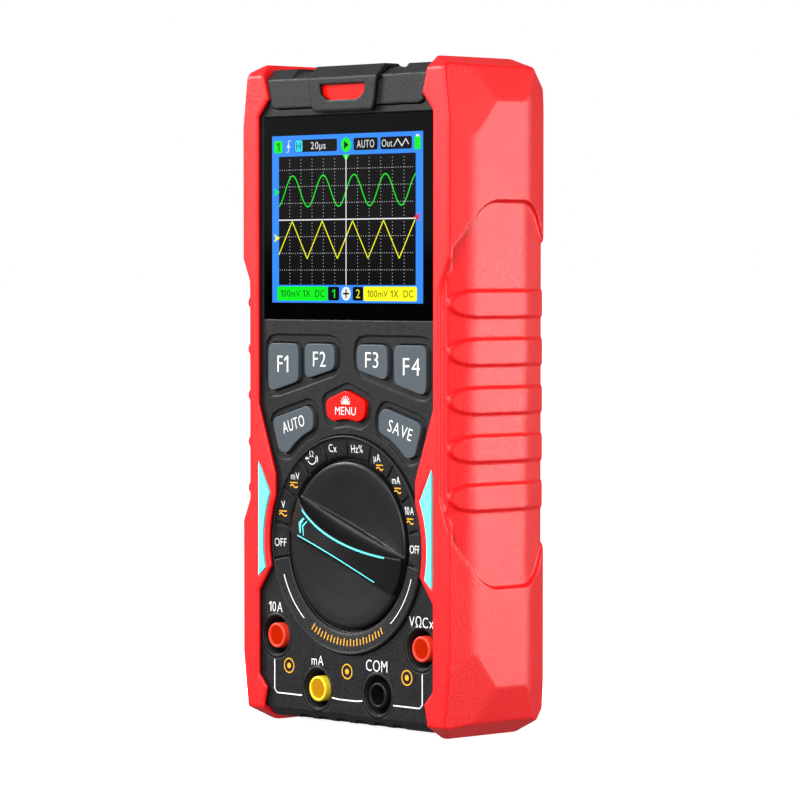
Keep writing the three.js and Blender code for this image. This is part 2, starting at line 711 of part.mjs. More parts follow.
function makeCoverLatch() {
  const side = [
    [-2, 180.5],
    [-1.5, 179.9],
    [-0.9, 179.9],
    [-0.9, 188.6],
    [2.9, 192.4],
    [LATCH_Y, 192.4],
    [LATCH_Y, 193.5],
    [1.6, 193.5],
    [-2, 189.9],
  ];
  const front = rounded(bothSides([[12.9, 179.9], [14.6, 190], [14.6, 196]]), 2.4);
  const plate = prism("X", side, -15, 15).intersect(prism("Y", front, -3, 9));
  const barrel = axle(LATCH_Y, LATCH_Z, 1.2, -14.6, 14.6, 16);
  const window = prism("Y", rounded(bothSides([[6.3, 183.4], [9.1, 185], [9.95, 188]]), 0.8), -3, 0);
  const bore = axle(LATCH_Y, LATCH_Z, LATCH_PIN_RADIUS + PIN_GAP, -20, 20, 12);
  addPiece("cover_latch", plate.add(barrel).subtract(window).subtract(bore), "black");
  addPiece("latch_pin", axle(LATCH_Y, LATCH_Z, LATCH_PIN_RADIUS, -16.3, 16.3, 12), "steel");
}

function makeCoverCatch() {
  const plate = box([-10.2, 10.2], [-0.6, 1.2], [DECK_TOP + GAP, 188.4]);
  const bridge = box([-8, 8], [-0.6, 4.2], [DECK_TOP + GAP, 183.4]);
  const foot = box([-8, 8], [WALL + GAP, 4.2], [BAY_FLOOR + GAP, 183.4]);
  addPiece("cover_catch", plate.add(bridge).add(foot), "menuRed");
}

// Kickstand
function makeKickstand() {
  const { half, bottom, front, back } = STAND;
  let solid = box([-half, half], [front, back], [bottom, STAND_Z]);
  solid = solid.subtract(box([-8, 8], [front - 1, back + 1], [bottom - 1, bottom + 4]));
  solid = solid.add(axle(STAND_Y, STAND_Z, 1.5, -half, half, 16));
  solid = solid.subtract(axle(STAND_Y, STAND_Z, STAND_PIN_RADIUS + PIN_GAP, -30, 30, 12));
  addPiece("kickstand", solid, "charcoal");
  addPiece("kickstand_pin", axle(STAND_Y, STAND_Z, STAND_PIN_RADIUS, -23.2, 23.2, 12), "steel");
}

// Electronics and power
function makeBoard() {
  let board = box([-36.5, 36.5], [BOARD_FRONT, BOARD_BACK], [35, 173.6]);
  CASE_SCREWS.forEach(({ x, z }) => {
    board = board.subtract(rod(x, z, 3.4, 0, 20, 16));
  });
  addPiece("main_board", board, "board");
  const back = BOARD_BACK + GAP;
  addPiece("processor_shield", box([-24, 24], [back, back + 4], [98, 138]), "steel");
  addPiece("input_shield", box([-24, 24], [back, back + 9], [144, 172.8]), "steel");
  addPiece("buzzer", rod(-27, 84, 6, back, back + 6, 20), "black");
}

function makeFuses() {
  const fuses = [
    { name: "fuse_10a", z: 74 },
    { name: "fuse_ma", z: 88 },
  ];
  const y = BOARD_BACK + 5;
  fuses.forEach(({ name, z }) => {
    const body = axle(y, z, 3, -15, 15, 16);
    addPiece(name, body, "ceramic");
    const holder = box([-17, 17], [BOARD_BACK + GAP, y + 1], [z - 4.6, z + 4.6]);
    const mouth = box([-15.4, 15.4], [y, y + 4], [z - 3.3, z + 3.3]);
    const room = axle(y, z, 3.4, -15.4, 15.4, 16).add(mouth);
    addPiece(name + "_holder", holder.subtract(room), "black");
  });
}

function makeBattery() {
  const cellY = 26.2;
  const cells = [
    { name: "battery_cell_lower", z: 31.6 },
    { name: "battery_cell_upper", z: 50.4 },
  ];
  cells.forEach(({ name, z }) => addPiece(name, axle(cellY, z, 9.1, -32, 32, 24), "cell"));
  const tray = box([-33.6, 33.6], [15.6, 29], [20.6, 61.4]);
  addPiece("battery_tray", tray.subtract(box([-32.6, 32.6], [16.8, 40], [22, 60])), "black");
}

makeFrontCase();
makeRearCase();
makeScrews();
makeBatteryDoor();
makeArmour();
makeDisplay();
makeKeys();
makeDialRing();
makeSelector();
makeJacks();
makeSignalSockets();
makeTopCover();
makeCoverLatch();
makeCoverCatch();
makeKickstand();
makeBoard();
makeFuses();
makeBattery();

export default group;
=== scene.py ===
"""A handheld oscilloscope multimeter: surfaces, materials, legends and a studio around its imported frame."""
import json
import math

import bmesh
import bpy
from mathutils import Matrix, Vector


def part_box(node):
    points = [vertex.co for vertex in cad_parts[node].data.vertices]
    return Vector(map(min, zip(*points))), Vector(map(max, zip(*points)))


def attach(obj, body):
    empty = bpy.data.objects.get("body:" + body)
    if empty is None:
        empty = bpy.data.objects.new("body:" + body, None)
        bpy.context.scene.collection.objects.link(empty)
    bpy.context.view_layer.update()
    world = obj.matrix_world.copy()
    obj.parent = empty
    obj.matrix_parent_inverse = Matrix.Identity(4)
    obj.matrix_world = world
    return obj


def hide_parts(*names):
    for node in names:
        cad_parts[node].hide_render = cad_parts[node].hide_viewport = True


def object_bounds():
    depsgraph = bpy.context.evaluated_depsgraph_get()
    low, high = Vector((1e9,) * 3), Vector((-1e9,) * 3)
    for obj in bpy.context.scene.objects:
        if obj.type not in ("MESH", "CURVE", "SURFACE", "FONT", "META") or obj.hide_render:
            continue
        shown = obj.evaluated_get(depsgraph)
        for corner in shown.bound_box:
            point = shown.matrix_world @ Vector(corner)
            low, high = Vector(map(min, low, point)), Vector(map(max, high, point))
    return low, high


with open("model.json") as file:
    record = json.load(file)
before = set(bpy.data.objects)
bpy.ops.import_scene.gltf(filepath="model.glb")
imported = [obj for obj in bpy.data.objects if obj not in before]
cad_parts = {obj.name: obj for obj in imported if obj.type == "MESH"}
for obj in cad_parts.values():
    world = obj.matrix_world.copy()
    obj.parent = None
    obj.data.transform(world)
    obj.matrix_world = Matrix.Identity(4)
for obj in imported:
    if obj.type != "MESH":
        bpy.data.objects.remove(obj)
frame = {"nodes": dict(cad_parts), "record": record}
cad_low, cad_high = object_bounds()
NODES = frame["nodes"]
MM = 0.001

# Places read from the frame, in millimetres
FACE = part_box("front_case")[0].y / MM  # depth of the front face in the frame
DIAL_Z = sum(corner.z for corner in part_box("dial_ring")) / 2 / MM
RING_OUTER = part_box("dial_ring")[1].x / MM
KNOB_RADIUS = RING_OUTER - 7.4  # the knob turns inside the ring
TOP = cad_high.z / MM
BACK = cad_high.y / MM - FACE
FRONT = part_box("right_armour")[0].y / MM - FACE  # the armour's front, proud of the face
ARMOUR_HALF = cad_high.x / MM
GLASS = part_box("display_window")
GLASS_FRONT = GLASS[0].y / MM - FACE
KNOB_ANGLE = 160  # where the pointer rests on the dial, in degrees

# ---------------- meshes


def spot(x, depth, z):
    """A place on the instrument: depth is counted from the front face, backwards."""
    return Vector((x, FACE + depth, z)) * MM


def mesh_object(name, bm):
    """A new object from a mesh under construction, its faces turned outwards."""
    bmesh.ops.recalc_face_normals(bm, faces=bm.faces)
    mesh = bpy.data.meshes.new(name)
    bm.to_mesh(mesh)
    bm.free()
    obj = bpy.data.objects.new(name, mesh)
    bpy.context.scene.collection.objects.link(obj)
    return obj


def bake_modifiers(obj):
    """Applies what the object's modifiers do to its mesh."""
    graph = bpy.context.evaluated_depsgraph_get()
    mesh = bpy.data.meshes.new_from_object(obj.evaluated_get(graph))
    obj.modifiers.clear()
    obj.data = mesh
    return obj


def arc(centre_a, centre_b, radius, start, end, steps):
    """Points on an arc, its angles in degrees."""
    turns = [math.radians(start + (end - start) * i / steps) for i in range(steps + 1)]
    return [(centre_a + radius * math.cos(t), centre_b + radius * math.sin(t)) for t in turns]


def circle(centre_a, centre_b, radius, sides=48):
    """Points on a circle."""
    return arc(centre_a, centre_b, radius, 0, 360 - 360 / sides, sides - 1)


def both_sides(half):
    """The right half of an outline, from the bottom up, and its mirror image."""
    return half + [(-x, z) for x, z in reversed(half)]


def rounded(outline, radius, steps=5):
    """The outline with its corners turned into curves; radius may list one value for each corner."""
    radii = radius if isinstance(radius, list) else [radius] * len(outline)
    points = []
    for i, corner in enumerate(outline):
        here = Vector(corner)
        if not radii[i]:
            points.append(corner)
            continue
        before = Vector(outline[i - 1]) - here
        after = Vector(outline[(i + 1) % len(outline)]) - here
        half = max(before.angle(after) / 2, 0.05)
        reach = min(radii[i] / math.tan(half), before.length * 0.48, after.length * 0.48)
        start = here + before.normalized() * reach
        end = here + after.normalized() * reach
        for k in range(steps + 1):
            t = k / steps
            points.append(tuple(start * (1 - t) ** 2 + here * 2 * t * (1 - t) + end * t * t))
    return points


def loft(bm, loops, closed=False):
    """Skins between loops of equally many points; ends are capped unless the loops close into a ring."""
    rings = [[bm.verts.new(p) for p in loop] for loop in loops]
    pairs = list(zip(rings, rings[1:] + rings[:1])) if closed else list(zip(rings, rings[1:]))
    for lower, upper in pairs:
        for i in range(len(lower)):
            j = (i + 1) % len(lower)
            bm.faces.new((lower[i], lower[j], upper[j], upper[i]))
    if not closed:
        bm.faces.new(rings[0])
        bm.faces.new(rings[-1])


PLACES = {
    "X": lambda a, b, t: spot(t, a, b),
    "Y": lambda a, b, t: spot(a, t, b),
    "Z": lambda a, b, t: spot(a, b, t),
}


def prism(axis, outline, start, end):
    """A solid with a given outline, from start to end along an axis."""
    bm = bmesh.new()
    loft(bm, [[PLACES[axis](a, b, t) for a, b in outline] for t in (start, end)])
    return mesh_object("prism", bm)


def cut(target, tool, operation="DIFFERENCE"):
    """Joins, cuts or crosses two solids and removes the tool."""
    modifier = target.modifiers.new("cut", "BOOLEAN")
    modifier.object = tool
    modifier.operation = operation
    modifier.solver = "EXACT"
    bake_modifiers(target)
    bpy.data.objects.remove(tool)
    return target


def keep_behind(bm, point, normal):
    """Cuts a convex solid by a plane and closes it again."""
    geometry = bm.verts[:] + bm.edges[:] + bm.faces[:]
    bmesh.ops.bisect_plane(bm, geom=geometry, plane_co=point, plane_no=normal, clear_outer=True)
    rim = [e for e in bm.edges if e.is_boundary]
    if rim:
        bmesh.ops.contextual_create(bm, geom=rim)


def soften(obj, voxel, passes):
    """Remeshes a solid finely and rounds its edges, as moulded pieces are."""
    remesh = obj.modifiers.new("remesh", "REMESH")
    remesh.mode = "VOXEL"
    remesh.voxel_size = voxel * MM
    smooth = obj.modifiers.new("smooth", "SMOOTH")
    smooth.factor = 0.5
    smooth.iterations = passes
    bake_modifiers(obj)
    obj.data.shade_smooth()
    return obj


def slab(bm, outline, back, front):
    """A flat piece of a given outline on the front."""
    loft(bm, [[spot(x, depth, z) for x, z in outline] for depth in (back, front)])


def box_slab(bm, x0, x1, z0, z1, back, front):
    """A flat rectangle on the front."""
    slab(bm, [(x0, z0), (x1, z0), (x1, z1), (x0, z1)], back, front)


def ribbon(bm, points, width, back, front):
    """A thin line along points of the front."""
    left, right = [], []
    for i, here in enumerate(points):
        before = Vector(points[max(i - 1, 0)])
        after = Vector(points[min(i + 1, len(points) - 1)])
        along = (after - before).normalized()
        side = Vector((-along.y, along.x)) * width / 2
        left.append(tuple(Vector(here) + side))
        right.append(tuple(Vector(here) - side))
    loops = [[spot(x, d, z) for (x, z), d in zip([a, b, b, a], [back, back, front, front])]
             for a, b in zip(left, right)]
    loft(bm, loops)


def lathe(name, profile, centre, axis, sides=64):
    """A turned piece from a closed outline of radius and height along the axis."""
    bm = bmesh.new()
    turn = Vector((0, 0, 1)).rotation_difference(Vector(axis)).to_matrix()
    loops = []
    for k in range(sides):
        angle = 2 * math.pi * k / sides
        cos, sin = math.cos(angle), math.sin(angle)
        loops.append([Vector(centre) + turn @ Vector((r * cos, r * sin, h)) * MM for r, h in profile])
    loft(bm, loops, closed=True)
    obj = mesh_object(name, bm)
    obj.data.shade_smooth()
    return obj


def rod(bm, centre, axis, radius, length, sides=24):
    """A round bar from a centre along an axis, with a small chamfer at its far end."""
    turn = Vector((0, 0, 1)).rotation_difference(Vector(axis)).to_matrix()
    loops = []
    for r, h in ((radius, 0), (radius, length - 0.15), (radius - 0.15, length)):
        ring = circle(0, 0, r, sides)
        loops.append([Vector(centre) + turn @ Vector((a, b, h)) * MM for a, b in ring])
    loft(bm, loops)


FONT_CAPITALS = 0.682  # height of the built-in font's capitals at size 1
LETTER_GAP = 0.2
LETTER_SPACE = 0.45


def glyph(char):
    """One character as a solid mesh, its capitals 1 tall, and its width."""
    if char == "1":
        outline = [(0, 0.66), (0, 0.79), (0.26, 1), (0.4, 1), (0.4, 0), (0.26, 0), (0.26, 0.84)]
        bm = bmesh.new()
        loft(bm, [[(a, b, depth) for a, b in outline] for depth in (-0.5, 0.5)])
        mesh = bpy.data.meshes.new("one")
        bm.to_mesh(mesh)
        bm.free()
        return mesh, 0.4
    curve = bpy.data.curves.new("glyph", "FONT")
    curve.body = char
    curve.size = 1 / FONT_CAPITALS
    curve.extrude = 0.5
    curve.resolution_u = 3
    curve.offset = -0.01
    obj = bpy.data.objects.new("glyph", curve)
    bpy.context.scene.collection.objects.link(obj)
    graph = bpy.context.evaluated_depsgraph_get()
    mesh = bpy.data.meshes.new_from_object(obj.evaluated_get(graph))
    bpy.data.objects.remove(obj)
    across = [v.co.x for v in mesh.vertices]
    mesh.transform(Matrix.Translation((-min(across), 0, 0)))
    return mesh, max(across) - min(across)


def letters(bm, text, x, z, height, back, front, turn=0, narrow=1.0):
    """Writes a legend on the front, centred on a place, its capitals of a given height."""
    placed, along = [], 0
    for char in text:
        if char == " ":
            along += LETTER_SPACE
            continue
        mesh, width = glyph(char)
        placed.append((mesh, along))
        along += width + LETTER_GAP
    middle = (along - LETTER_GAP) / 2
    place = Matrix.Translation(spot(x, (back + front) / 2, z))
    place = place @ Matrix.Rotation(-turn, 4, "Y") @ Matrix.Rotation(math.pi / 2, 4, "X")
    place = place @ Matrix.Diagonal((height * narrow * MM, height * MM, (back - front) * MM, 1))
    for mesh, start in placed:
        mesh.transform(place @ Matrix.Translation((start - middle, -0.5, 0)))
        bm.from_mesh(mesh)
        bpy.data.meshes.remove(mesh)


def finish_piece(obj, body, material, replaces=()):
    """Gives a piece its material, its body and the nodes that it stands for."""
    obj.data.materials.clear()
    obj.data.materials.append(MATERIALS[material])
    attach(obj, body)
    if replaces:
        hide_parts(*replaces)
    return obj


# ---------------- materials


def linear(red, green, blue):
    """A colour given as it shows on a screen, 0 to 255, as a shader's colour."""
    def channel(value):
        c = value / 255
        return c / 12.92 if c <= 0.04045 else ((c + 0.055) / 1.055) ** 2.4
    return (channel(red), channel(green), channel(blue), 1)


def scaled(colour, factor):
    """A colour made darker or brighter."""
    return tuple(min(c * factor, 1) for c in colour[:3]) + (1,)


CLOUD_SIZE = 14  # sizes and depths of grain are in millimetres
SPECK_RANGE = (0.3, 0.7)  # the part of the fine noise that is spread over the full contrast
SPECK_SHARE = 0.75  # of the fine grain in the pattern, beside the clouds
GLOSS_SPREAD = 0.08
COAT_ROUGHNESS = 0.12
EDGE_SAMPLES = 8


def noise(tree, place, size, detail):
    """Noise whose features have about a given size."""
    texture = tree.nodes.new("ShaderNodeTexNoise")
    texture.inputs["Scale"].default_value = 1 / (size * MM)
    texture.inputs["Detail"].default_value = detail
    tree.links.new(place.outputs["Object"], texture.inputs["Vector"])
    return texture.outputs["Fac"]


def remap(tree, value, old, new):
    """A value moved from one range to another."""
    node = tree.nodes.new("ShaderNodeMapRange")
    node.inputs["From Min"].default_value, node.inputs["From Max"].default_value = old
    node.inputs["To Min"].default_value, node.inputs["To Max"].default_value = new
    tree.links.new(value, node.inputs["Value"])
    return node.outputs["Result"]


def mottle(tree, cloud, speck):
    """Clouds and fine grain as one pattern."""
    both = tree.nodes.new("ShaderNodeMix")
    both.inputs["Factor"].default_value = SPECK_SHARE
    tree.links.new(cloud, both.inputs["A"])
    tree.links.new(speck, both.inputs["B"])
    return both.outputs["Result"]


def tinted(tree, pattern, colour, variation):
    """A colour made darker and brighter by a pattern."""
    tint = tree.nodes.new("ShaderNodeMix")
    tint.data_type = "RGBA"
    tint.inputs["A"].default_value = scaled(colour, 1 - variation)
    tint.inputs["B"].default_value = scaled(colour, 1 + variation)
    tree.links.new(pattern, tint.inputs["Factor"])
    return tint.outputs["Result"]


def relief(tree, height, depth, edge):
    """Normals of a fine relief; with an edge radius, sharp edges shade as if they were round."""
    bump = tree.nodes.new("ShaderNodeBump")
    bump.inputs["Strength"].default_value = 1
    bump.inputs["Distance"].default_value = depth * MM
    tree.links.new(height, bump.inputs["Height"])
    if edge:
        round_edge = tree.nodes.new("ShaderNodeBevel")
        round_edge.samples = EDGE_SAMPLES
        round_edge.inputs["Radius"].default_value = edge * MM
        tree.links.new(round_edge.outputs["Normal"], bump.inputs["Normal"])
    return bump.outputs["Normal"]


def grained(name, colour, roughness, grain=0.5, depth=0.02, variation=0.12, specular=0.5, metallic=0.0,
            coat=0.0, edge=0.0, sparkle=False):
    """A moulded or machined surface: fine grain and faint clouds; sparkle lets the grain into the gloss."""
    material = bpy.data.materials.new(name)
    material.use_nodes = True
    tree = material.node_tree
    shader = tree.nodes["Principled BSDF"]
    shader.inputs["Metallic"].default_value = metallic
    shader.inputs["Specular IOR Level"].default_value = specular
    shader.inputs["Coat Weight"].default_value = coat
    shader.inputs["Coat Roughness"].default_value = COAT_ROUGHNESS
    place = tree.nodes.new("ShaderNodeTexCoord")
    cloud = noise(tree, place, CLOUD_SIZE, 3)
    speck = noise(tree, place, grain, 2)
    both = mottle(tree, cloud, remap(tree, speck, SPECK_RANGE, (0, 1)))
    gloss = (max(roughness - GLOSS_SPREAD, 0.02), min(roughness + GLOSS_SPREAD, 1))
    tree.links.new(tinted(tree, both, colour, variation), shader.inputs["Base Color"])
    tree.links.new(remap(tree, both if sparkle else cloud, (0, 1), gloss), shader.inputs["Roughness"])
    tree.links.new(relief(tree, speck, depth, edge), shader.inputs["Normal"])
    return material


def glowing(name, colour, strength=1.0):
    """A part that glows under a glossy surface: the lit display, and the painted light in the jack bores."""
    material = grained(name, scaled(colour, 0.04), 0.2, depth=0.0005, variation=0.05, specular=0.02)
    shader = material.node_tree.nodes["Principled BSDF"]
    shader.inputs["Emission Color"].default_value = colour
    shader.inputs["Emission Strength"].default_value = strength
    return material


SURFACES = {  # name, colour, roughness, grain, depth of the grain, colour variation, what else differs
    "charcoal_case": ("case_charcoal", (28, 28, 29), 0.42, 0.45, 0.07, 0.85,
                      {"specular": 0.19, "edge": 0.6, "sparkle": True}),
    "black_plastic": ("cover_black", (34, 34, 35), 0.42, 0.45, 0.07, 0.85,
                      {"specular": 0.2, "edge": 0.9, "sparkle": True}),
    "pocket_black": ("smooth_black", (18, 18, 19), 0.4, 0.4, 0.008, 0.12, {"specular": 0.3}),
    "knob_black": ("knob_black", (20, 20, 21), 0.34, 0.5, 0.006, 0.1, {"specular": 0.26}),
    "red_armour": ("armour_red", (252, 17, 22), 0.38, 0.38, 0.1, 0.12, {"specular": 0.4, "sparkle": True}),
    "red_plastic": ("red_plastic", (238, 14, 4), 0.4, 0.6, 0.006, 0.06, {"specular": 0.13, "edge": 0.5}),
    "cyan_accent": ("cyan_plastic", (110, 250, 252), 0.45, 0.5, 0.006, 0.04, {}),
    "yellow_plastic": ("yellow_plastic", (250, 215, 45), 0.38, 0.6, 0.006, 0.06, {}),
    "jack_red": ("jack_red", (255, 62, 40), 0.35, 0.6, 0.006, 0.06, {}),
    "grey_key": ("key_grey", (70, 78, 84), 0.45, 0.5, 0.012, 0.08, {"specular": 0.24, "edge": 0.5}),
    "window_glass": ("glass_black", (1, 1, 1), 0.1, 2.0, 0.0005, 0.05, {"specular": 0.01}),
    "display": ("display_back", (40, 110, 220), 0.3, 1.0, 0.001, 0.05, {}),
    "steel": ("plated_steel", (168, 170, 174), 0.34, 0.4, 0.004, 0.08, {"metallic": 1.0}),
    "brass": ("bright_brass", (206, 168, 96), 0.25, 0.4, 0.004, 0.08, {"metallic": 1.0}),
    "circuit_board": ("solder_mask", (24, 96, 50), 0.35, 1.2, 0.01, 0.2, {"coat": 0.3}),
    "keypad_rubber": ("silicone", (60, 62, 66), 0.7, 0.5, 0.02, 0.1, {}),
    "battery_wrap": ("shrink_wrap", (40, 90, 190), 0.3, 2.0, 0.01, 0.08, {"coat": 0.3}),
    "ceramic": ("fuse_ceramic", (232, 226, 214), 0.35, 0.8, 0.006, 0.05, {}),
    "white_ink": ("white_ink", (238, 238, 236), 0.55, 0.3, 0.003, 0.04, {}),
    "amber_ink": ("amber_ink", (245, 172, 20), 0.55, 0.3, 0.003, 0.05, {}),
    "cyan_ink": ("cyan_ink", (105, 240, 245), 0.45, 0.3, 0.003, 0.04, {}),
}
GLOWS = {  # name, colour, strength
    # painted light: these two glows stand in for light inside the jack bores, which are in shade
    "jack_red_lining": ("red_lining", (220, 42, 10), 0.9),
    "yellow_plastic_lining": ("yellow_lining", (232, 160, 28), 0.85),
    "screen_blue": ("screen_blue", (52, 140, 252), 1),
    "screen_black": ("screen_black", (3, 3, 5), 0.4),
    "screen_white": ("screen_white", (235, 238, 240), 1),
    "screen_grey": ("screen_grey", (190, 192, 196), 1),
    "screen_green": ("screen_green", (10, 240, 30), 1),
    "screen_yellow": ("screen_yellow", (250, 250, 30), 1),
    "screen_red": ("screen_red", (250, 20, 30), 1),
    "screen_cyan": ("screen_cyan", (60, 220, 240), 1),
}


def make_materials():
    """Every material: plain surfaces and the parts that glow."""
    materials = {}
    for key, (name, colour, roughness, grain, depth, variation, others) in SURFACES.items():
        materials[key] = grained(name, linear(*colour), roughness, grain, depth, variation, **others)
    for key, (name, colour, strength) in GLOWS.items():
        materials[key] = glowing(name, linear(*colour), strength)
    return materials


MATERIALS = make_materials()

# ---------------- pieces taken over from the frame

BEVELS = {  # widths asked for, in millimetres; a very short edge on a node clamps them
    "front_case": 0.4,
    "rear_case": 0.3,
    "battery_door": 0.3,
    "kickstand": 0.4,
    "top_cover": 0.45,
    "cover_latch": 0.45,
    "cover_catch": 0.25,
    "left_accent": 0.25,
    "right_accent": 0.25,
    "display_window": 0.15,
}
KEY_BEVEL = 0.55
SMALL_BEVEL = 0.12


def dress_nodes():
    """Gives every node of the frame its material, and bevels its edges as far as its mesh lets it."""
    for part in frame["record"]["subparts"]:
        node = NODES[part["node"]]
        width = BEVELS.get(node.name, KEY_BEVEL if node.name.startswith("key_") else SMALL_BEVEL)
        node.data.materials.clear()
        node.data.materials.append(MATERIALS[part["material_slot"]])
        node.data.shade_smooth()
        flat = node.modifiers.new("flat", "DECIMATE")
        flat.decimate_type = "DISSOLVE"
        flat.angle_limit = math.radians(1)
        bevel = node.modifiers.new("bevel", "BEVEL")
        bevel.width = width * MM
        bevel.segments = 3
        bevel.limit_method = "ANGLE"
        bevel.angle_limit = math.radians(32)
        bevel.use_clamp_overlap = True
        bevel.miter_outer = "MITER_ARC"
        node.modifiers.new("normals", "WEIGHTED_NORMAL").keep_sharp = False


# ---------------- armour

RIDGE_TOP = 182.1
RIDGE_BOTTOM = 14.6
GRIP_DEPTH = 1.4
RIB_DEPTH = 0.7
RIB_PITCH = 13.8
RIB_HEIGHT = 7.2
RIB_LOWEST = 69.1  # height of the lowest rib
GRIP_MIDDLE = 98.35
SHOULDER = (43.5, 192.2)  # outer corners, across and up
FOOT = (43.5, 4.4)


def armour_section(depth):
    """The armour's cross-section in width and depth, drawn in by a distance, its ridges softly rounded."""
    corners = [
        (30, FRONT + 0.7 * depth),
        (44 - 1.3 * depth, FRONT + 0.7 * depth),
        (ARMOUR_HALF - depth, 6.9 + 0.3 * depth),
        (ARMOUR_HALF - depth, 28.6 - 0.3 * depth),
        (42 - 0.4 * depth, BACK - 0.3 * depth),
        (30, BACK - 0.3 * depth),
    ]
    return rounded(corners, [0, 0, 18, 14, 2, 0], 6)


def armour_planes():
    """Points and normals of the planes that end the armour: chamfers, corners and slanted facets."""
    across = [  # lines in width and height, as two points with the solid on their left
        ((ARMOUR_HALF, RIDGE_TOP), SHOULDER),
        (SHOULDER, (37.5, TOP)),
        ((37.5, 0), FOOT),
        (FOOT, (ARMOUR_HALF, RIDGE_BOTTOM)),
    ]
    along = [  # lines in depth and height
        ((BACK, 186.3), (33.2, 192.2)),
        ((33.2, 192.2), (29.8, TOP)),
        ((1.6, TOP), (FRONT, 191.3)),
        ((FRONT, 4), (4.5, 0)),
        ((32, 0), (BACK, 6.5)),
    ]
    planes = []
    for (x0, z0), (x1, z1) in across:
        planes.append((spot(x0, 0, z0), Vector((z1 - z0, 0, x0 - x1))))
    for (y0, z0), (y1, z1) in along:
        planes.append((spot(0, y0, z0), Vector((0, z1 - z0, y0 - y1))))
    facets = [
        [(ARMOUR_HALF, 15.8, 0), (ARMOUR_HALF, 7.9, -9.8), (43.7, FRONT, -2.8)],
        [(44.4, 32.8, 0), (42, BACK, -3.3), (43.4, 33.3, 10)],
    ]
    for facet in facets:
        for end, sign in ((RIDGE_TOP, 1), (RIDGE_BOTTOM, -1)):
            a, b, c = [spot(x, y, end + sign * past) for x, y, past in facet]
            normal = (b - a).cross(c - a)
            planes.append((a, normal if normal.x > 0 else -normal))
    return planes


def armour_block():
    """The armour's full solid, before anything is cut out of it."""
    block = prism("Z", armour_section(0), 0, TOP)
    bm = bmesh.new()
    bm.from_mesh(block.data)
    bpy.data.objects.remove(block)
    for point, normal in armour_planes():
        keep_behind(bm, point, normal.normalized())
    return mesh_object("block", bm)


def front_opening():
    """The outline that the armour's two halves leave open at the front."""
    return both_sides([
        (35, -1),
        (35, 5.1),
        (33.8, 10.1),
        (37.3, 13.8),
        (37.3, 38.8),
        *arc(0, DIAL_Z, 32.7, -13.4, 29, 24),
        (37.4, 94.3),
        (37.4, 179.3),
        (33, 184.3),
        (35, 191.3),
        (36.3, 196),
    ])


def case_outline(gap):
    """The case's outline inside the armour, grown by a gap."""
    return both_sides([
        (34.6 + gap, 1.7 - gap),
        (34.6 + gap, 4.6 - gap),
        (36.8 + gap, 4.6 - gap),
        (40 + gap, 8.5),
        (40 + gap, 184),
        (37 + gap, 190.2 + gap),
        (35.7 - gap, 190.2 + gap),
        (35.7 - gap, 184.2 + gap),
        (33.1 - gap, 184.2 + gap),
        (32.8 - gap, 182 + gap),
        (31 - gap, 181.3 + gap),
    ])


def grip_region():
    """The part of the armour that is drawn in for the hand, seen from the side and from the front."""
    upper = [(-3, 135.6), (-1.9, 137.3), (6.2, 147.3)]
    upper += arc(17, 142.8, 11, 135, 90, 5)
    upper += arc(26, 142.8, 11, 90, 20, 7)
    upper += [(39, 142), (44, 139)]
    side = upper + [(y, 2 * GRIP_MIDDLE - z) for y, z in reversed(upper)]
    kept = [(30, 190), (44.6, 190), (44.6, 138.4), (40.3, 128.6)]
    kept += [(x, 2 * GRIP_MIDDLE - z) for x, z in reversed(kept)]
    kept = rounded(kept, [0, 0, 0, 12, 12, 0, 0, 0])
    return cut(prism("X", side, 36, 60), prism("Y", kept, -10, 0.2))


def rib(z):
    """One of the grip's ribs at a height, with a round nose towards the front."""
    nose = arc(0, 0, 1, 90, 270, 14)
    outline = [(7.6 + 8 * a, z + RIB_HEIGHT / 2 * b) for a, b in nose]
    outline += [(44, z - RIB_HEIGHT / 2), (44, z + RIB_HEIGHT / 2)]
    return cut(prism("X", outline, 40, 60), prism("Z", armour_section(RIB_DEPTH), 0, TOP), "INTERSECT")


CASE_BACK = 38.3  # depths behind the front face
REAR_PANEL = 37
COVER_REAR = 24
COVER_SEAT = 181.3
OPEN_HALF = 36.2
BEYOND = 200  # a height over everything
RIB_COUNT = 5


def cut_openings(solid):
    """Takes the case, the front, the rear panel, the cover and the accent out of the armour."""
    cut(solid, prism("Y", case_outline(0.3), -0.3, CASE_BACK))
    cut(solid, prism("Y", front_opening(), -5, CASE_BACK))
    for low, start in ((-1, REAR_PANEL), (COVER_SEAT, COVER_REAR)):
        opening = [(0, low), (OPEN_HALF, low), (OPEN_HALF, BEYOND), (0, BEYOND)]
        cut(solid, prism("Y", opening, start, 45))
    accent = [(37.3, 43.1), (37.3, 77.6), *arc(0, DIAL_Z, 35, 23.7, -13.7, 16)]
    cut(solid, prism("Y", accent, -5, 0))


def make_armour():
    """The right half of the armour, and its mirror image on the left."""
    solid = armour_block()
    cut(solid, cut(grip_region(), prism("Z", armour_section(GRIP_DEPTH), -5, TOP + 5)))
    for i in range(RIB_COUNT):
        cut(solid, rib(RIB_LOWEST + i * RIB_PITCH), "UNION")
    cut_openings(solid)
    soften(solid, 0.4, 3)
    left_mesh = solid.data.copy()
    left_mesh.transform(Matrix.Scale(-1, 4, (1, 0, 0)))
    left_mesh.flip_normals()
    solid.name = "armour_right"
    left = bpy.data.objects.new("armour_left", left_mesh)
    bpy.context.scene.collection.objects.link(left)
    for obj, node in ((solid, "right_armour"), (left, "left_armour")):
        finish_piece(obj, "case", "red_armour", [node])


# ---------------- keys' legends


def legend(name, body, material, write):
    """One printed piece: write draws all its strokes."""
    bm = bmesh.new()
    write(bm)
    return finish_piece(mesh_object(name, bm), body, material)


def node_middle(node):
    """A node's middle across and up, in millimetres."""
    low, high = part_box(node)
    return (low.x + high.x) / 2 / MM, (low.z + high.z) / 2 / MM


